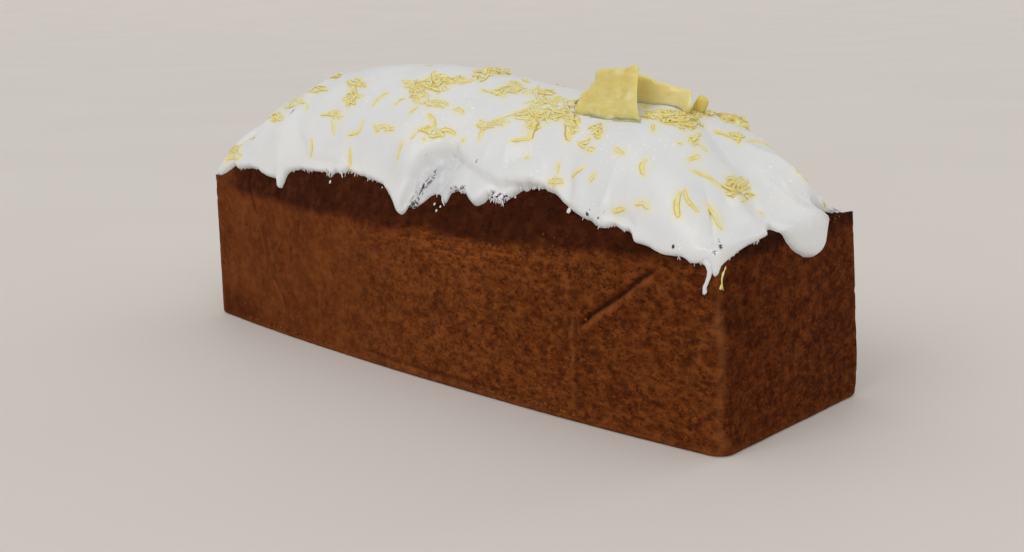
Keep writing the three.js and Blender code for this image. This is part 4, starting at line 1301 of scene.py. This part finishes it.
def heap_cores(strands, ground, random):
    """The cores of the heaps, made of lumps, on which the strands of the heaps then lie."""
    for px, py, wide, high in HEAPS:
        left, middle, right = ground.route([(px - wide, py + 1), (px, py), (px + wide, py + 3)])
        middle, up = ground.nearest(middle)
        along = (right - left) / 2
        for share in (-0.4, 0.0, 0.4):
            lump(strands, middle + share * along, along / np.linalg.norm(along), up, high, random)
    ground.add(strands.points, strands.faces)


def zest_piece(material, ground):
    """All the zest: single strands, clumps, heaps, the far side's zest and what hangs at the near corner."""
    strands = Strands()
    random = np.random.default_rng(83)
    heap_cores(strands, ground, random)
    for half, pixels in ZEST:
        route = ground.route(pixels)
        if len(route) > 1:
            width = half * random.uniform(0.9, 1.15)
            lay_strand(strands, ground, random, route, width, random.uniform(0, 0.45))
    for px, py, wide, high, count, heap, orange in CLUMPS:
        for _ in range(count):
            angle, far = random.uniform(0, 2 * math.pi), random.uniform(0, 1) ** 0.6
            x, y = px + wide * far * math.cos(angle), py + high * far * math.sin(angle)
            turn, half_long = random.uniform(0, math.pi), random.uniform(*CLUMP_LENGTHS)
            step_x, step_y = half_long * math.cos(turn), 0.5 * half_long * math.sin(turn)
            route = ground.route([(x - step_x, y - step_y), (x, y), (x + step_x, y + step_y)])
            if len(route) > 1 and np.linalg.norm(route[0] - route[-1]) < WIDEST_SPAN:
                width, shade = random.uniform(*CLUMP_HALVES), orange * random.uniform(0.2, 1)
                lay_strand(strands, ground, random, route, width, shade, heap * random.uniform(0, 1) ** 2.5)
    for x, y, spread, count in FAR_ZEST:
        for _ in range(count):
            at_x, at_y = x + spread * random.normal(0, 0.5), y + spread * random.normal(0, 0.22)
            turn, half_long = random.uniform(0, math.pi), random.uniform(*FAR_LENGTHS)
            step_x, step_y = half_long * math.cos(turn), half_long * math.sin(turn)
            ends = [(at_x - step_x, at_y - step_y), (at_x, at_y), (at_x + step_x, at_y + step_y)]
            hits = [ground.below(*end) for end in ends]
            route = [hit[0] for hit in hits if hit is not None and hit[0][2] > FAR_ZEST_LOWEST]
            if len(route) > 1 and at_y > FAR_ZEST_NEAREST:
                width, shade = random.uniform(*FAR_HALVES), random.uniform(0, 0.5)
                lay_strand(strands, ground, random, route, width, shade, random.uniform(0, 0.5))
    for half, pixels in HANGING_ZEST:
        lay_strand(strands, ground, random, ground.route(pixels), half, HANGING_ORANGE)
    return strands.build("citrus_zest", material)


def stain_icing(icing, zest):
    """Juice of the zest, which has tinted the icing round it."""
    tree = KDTree(len(zest.data.vertices))
    for i, vertex in enumerate(zest.data.vertices):
        tree.insert(vertex.co, i)
    tree.balance()
    away = np.array([tree.find(vertex.co)[2] for vertex in icing.data.vertices]) / MM
    add_attribute(icing, "juice", JUICE_STRENGTH * bell(away, JUICE_REACH))


# Loose crumbs that stick to the crust: wall, from, to, lowest, highest, how many, largest radius
CRUMBS = [
    (FRONT, 120, 245, 0.8, 4.0, 150, 1.25), (FRONT, 20, 120, 0.8, 3, 40, 0.9),
    (FRONT, 20, 280, 2, 52, 46, 0.55), (FRONT, 244, 262, 30, 46, 12, 0.7),
    (FRONT, 218, 242, 54, 66, 14, 0.6), (RIGHT, 4, 82, 0.8, 2.4, 26, 0.7), (RIGHT, 6, 80, 4, 56, 18, 0.5),
    (RIGHT, 66, 85, 66, 69, 10, 0.6), (BACK, 20, 280, 0.8, 3, 80, 0.9), (BACK, 20, 280, 4, 54, 34, 0.6),
    (LEFT, 6, 80, 0.8, 3, 26, 0.8), (LEFT, 8, 78, 4, 54, 12, 0.5),
]

# No crumb sits where the crust comes nearer than this to the side of the CAD's box, in millimetres, and a
# crumb's radius is at most this share of the room there
SMALLEST_ROOM, ROOM_SHARE = 0.4, 0.62


def crumbs_piece(material):
    """Crumbs of the crust, each pressed on to the wall."""
    crumbs = Strands()
    random = np.random.default_rng(101)
    for side, low, high, bottom, top, count, largest in CRUMBS:
        for _ in range(count):
            radius = largest * random.uniform(0.35, 1) ** 1.3
            around = WALL_STARTS[side] + random.uniform(low, high)
            height = max(bottom + (top - bottom) * random.uniform(0, 1) ** 1.4, radius + 0.1)
            place, normal = on_crust(around, height, np.array([0.0]))
            room = np.min(np.abs(to_frame(place[0]) - np.array(cad_box))[:, :2]) / MM
            if room < SMALLEST_ROOM:
                continue
            radius = min(radius, ROOM_SHARE * room)
            along = np.cross(normal[0], random.normal(size=3))
            lump(crumbs, place[0], along / np.linalg.norm(along), normal[0], radius, random)
    return crumbs.build("crust_crumbs", material)


# ---------------------------------------------------------------- candied fruit


# The fruit's grid, and how far its uneven surface lies inside the CAD's on the whole, in millimetres
FRUIT_VOXEL = 0.45
FRUIT_INSET = 0.35

# Pale spots on the slab's face: x, y, z, radius
PALE_SPOTS = [(90.5, -17, 112, 2.0), (84.5, -21, 103.6, 1.8)]

# The chip of fruit beside the wedge: the pixel of its foot, and up from there its lean and half widths
CHIP_FOOT = (698, 110)
CHIP_HEIGHTS = np.array([-0.6, 0.8, 2.2, 3.4, 4.5, 5.0])
CHIP_LEAN = np.array([0, 0, 0.1, 0.2, 0.4, 0.5])
CHIP_WIDTHS = np.array([2.5, 2.7, 2.6, 2.5, 2.2, 1.5])
CHIP_DEPTH = 0.7


def chip_piece(material, ground):
    """A small chip of candied fruit, lying on the zest."""
    chip = Strands()
    foot, up = ground.under_pixel(*CHIP_FOOT)
    path = foot + np.outer(CHIP_HEIGHTS, up) + np.outer(CHIP_LEAN, [1, 0, 0])
    chip.add(path, CHIP_WIDTHS, CHIP_DEPTH * CHIP_WIDTHS, np.array([1.0, -1.0, 0.0]), 0.3, sides=5)
    return chip.build("candied_chip", material)


def fruit_piece(node, name, material, seed, fibre, pale):
    """A finer copy of a fruit's solid, with soft lumps and fibres."""
    copy = show(name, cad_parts[node].data.copy())
    remesh = copy.modifiers.new("remesh", "REMESH")
    remesh.mode = "VOXEL"
    remesh.voxel_size = FRUIT_VOXEL * MM
    softer = copy.modifiers.new("soften", "SMOOTH")
    softer.iterations = 8
    made = bpy.data.meshes.new_from_object(copy.evaluated_get(bpy.context.evaluated_depsgraph_get()))
    bpy.data.objects.remove(copy)

    def per_point(field):
        """A direction or place of every point."""
        values = np.empty(len(made.vertices) * 3)
        made.vertices.foreach_get(field, values)
        return values.reshape(-1, 3)

    points, normal = per_point("co") / MM, per_point("normal")
    lumps = layered(points, [(7, 0.42, seed), (2.6, 0.18, seed + 1)])
    lines = 0.22 * noise(points * fibre, 1.5, seed + 2)
    moved = points + normal * (lumps + lines - FRUIT_INSET)[:, None]
    made.vertices.foreach_set("co", (moved * MM).ravel())
    made.polygons.foreach_set("use_smooth", [True] * len(made.polygons))
    made.materials.clear()
    made.materials.append(material)
    obj = show(name, made)
    place = points - LOAF_CENTRE / MM
    for x, y, z, radius in PALE_SPOTS:
        away = np.linalg.norm(place - [x, y, z], axis=1)
        pale = pale + 0.75 * smoothstep(away, radius * 1.3, radius * 0.5)
    add_attribute(obj, "pale", np.clip(pale + 0.4 * smoothstep(noise(points, 5, seed + 3), 0.4, 0.8), 0, 1))
    return obj


# ---------------------------------------------------------------- scene


def make_camera():
    """The camera that saw the photograph."""
    right, up, forward = camera_axes()
    data = bpy.data.cameras.new("camera")
    data.sensor_width = SENSOR
    data.lens = FOCAL_PIXELS * SENSOR / IMAGE_WIDTH
    camera = show("camera", data)
    axes = np.eye(4)
    axes[:3, :3] = np.stack([right, up, -forward], axis=1)
    axes[:3, 3] = to_frame(CAMERA_PLACE)
    camera.matrix_world = Matrix(axes.tolist())
    bpy.context.scene.camera = camera


def sun_light(name, way, strength, spread, colour):
    """A soft light from far off that shines along a direction."""
    data = bpy.data.lights.new(name, "SUN")
    data.energy = strength
    data.angle = math.radians(spread)
    data.color = colour
    light = show(name, data)
    light.rotation_mode = "QUATERNION"
    light.rotation_quaternion = Vector(way).to_track_quat("-Z", "Y")


# The floor's rings: radius and height in metres
FLOOR_RINGS = [(0.5, 0.0), (2.0, 0.0), (5.0, 0.0), (7.0, 0.06), (9.0, 0.25), (12.0, 0.8), (15.0, 1.6)]
FLOOR_SIDES = 72

# The light all round, and the lights: the way they shine, strength, spread in degrees, colour
SKY_STRENGTH, SKY_COLOUR = 0.56, (1.0, 0.985, 0.965, 1)
SUNS = {
    "front": ((0.12, 0.74, -0.66), 0.56, 34, (1.0, 0.995, 0.98)),
    "right": ((-0.75, 0.45, -0.5), 0.42, 34, (1.0, 0.98, 0.95)),
    "back": ((-0.2, -0.85, -0.5), 0.10, 12, (1.0, 1.0, 1.0)),
}


def make_stage():
    """A floor that rises gently far off, so that no view shows its edge, and the lights."""
    angles = np.arange(FLOOR_SIDES) * 2 * math.pi / FLOOR_SIDES
    points = [(far * math.cos(a), far * math.sin(a), high) for far, high in FLOOR_RINGS for a in angles]
    faces = [face[::-1] for face in ring_faces(len(FLOOR_RINGS), FLOOR_SIDES)]
    floor = smooth_mesh("floor", points, [tuple(range(FLOOR_SIDES))] + faces, floor_material())
    show("floor", floor)
    world = bpy.data.worlds.new("studio")
    world.use_nodes = True
    world.node_tree.nodes["Background"].inputs["Color"].default_value = SKY_COLOUR
    world.node_tree.nodes["Background"].inputs["Strength"].default_value = SKY_STRENGTH
    bpy.context.scene.world = world
    for name, settings in SUNS.items():
        sun_light(name, *settings)
    bpy.context.scene.view_settings.view_transform = "Standard"


def main():
    """Builds the pieces, puts them under the root and hides the CAD parts that they stand in for."""
    make_camera()
    make_stage()
    icing_look = icing_material()
    fruit_look = fruit_material()
    loaf = loaf_piece(crust_material())
    icing = icing_piece(icing_look)
    strings = icing_strings(icing_look)
    slab = fruit_piece("fruit_slab", "candied_slab", fruit_look, seed=91, fibre=[0.4, 1, 1], pale=0.0)
    # The wedge's paleness is partly painted light, lifting it where the slab shades it and it faces away from
    # the light
    wedge = fruit_piece("fruit_wedge", "candied_wedge", fruit_look, seed=95, fibre=[0.3, 1, 1.2], pale=0.55)
    ground = Ground([icing, loaf, slab, wedge])
    zest = zest_piece(zest_material(), ground)
    stain_icing(icing, zest)
    chip = chip_piece(fruit_look, ground)
    crumbs = crumbs_piece(crumb_material())
    for piece, node, slot in ((loaf, "loaf", "crust"), (icing, "icing", "icing"), (strings, None, "icing"),
                              (slab, "fruit_slab", "candied_fruit"), (wedge, "fruit_wedge", "candied_fruit"),
                              (zest, None, "candied_fruit"), (chip, None, "candied_fruit"),
                              (crumbs, None, "crust")):
        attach(piece, "root")
        if node:
            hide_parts(node)


main()
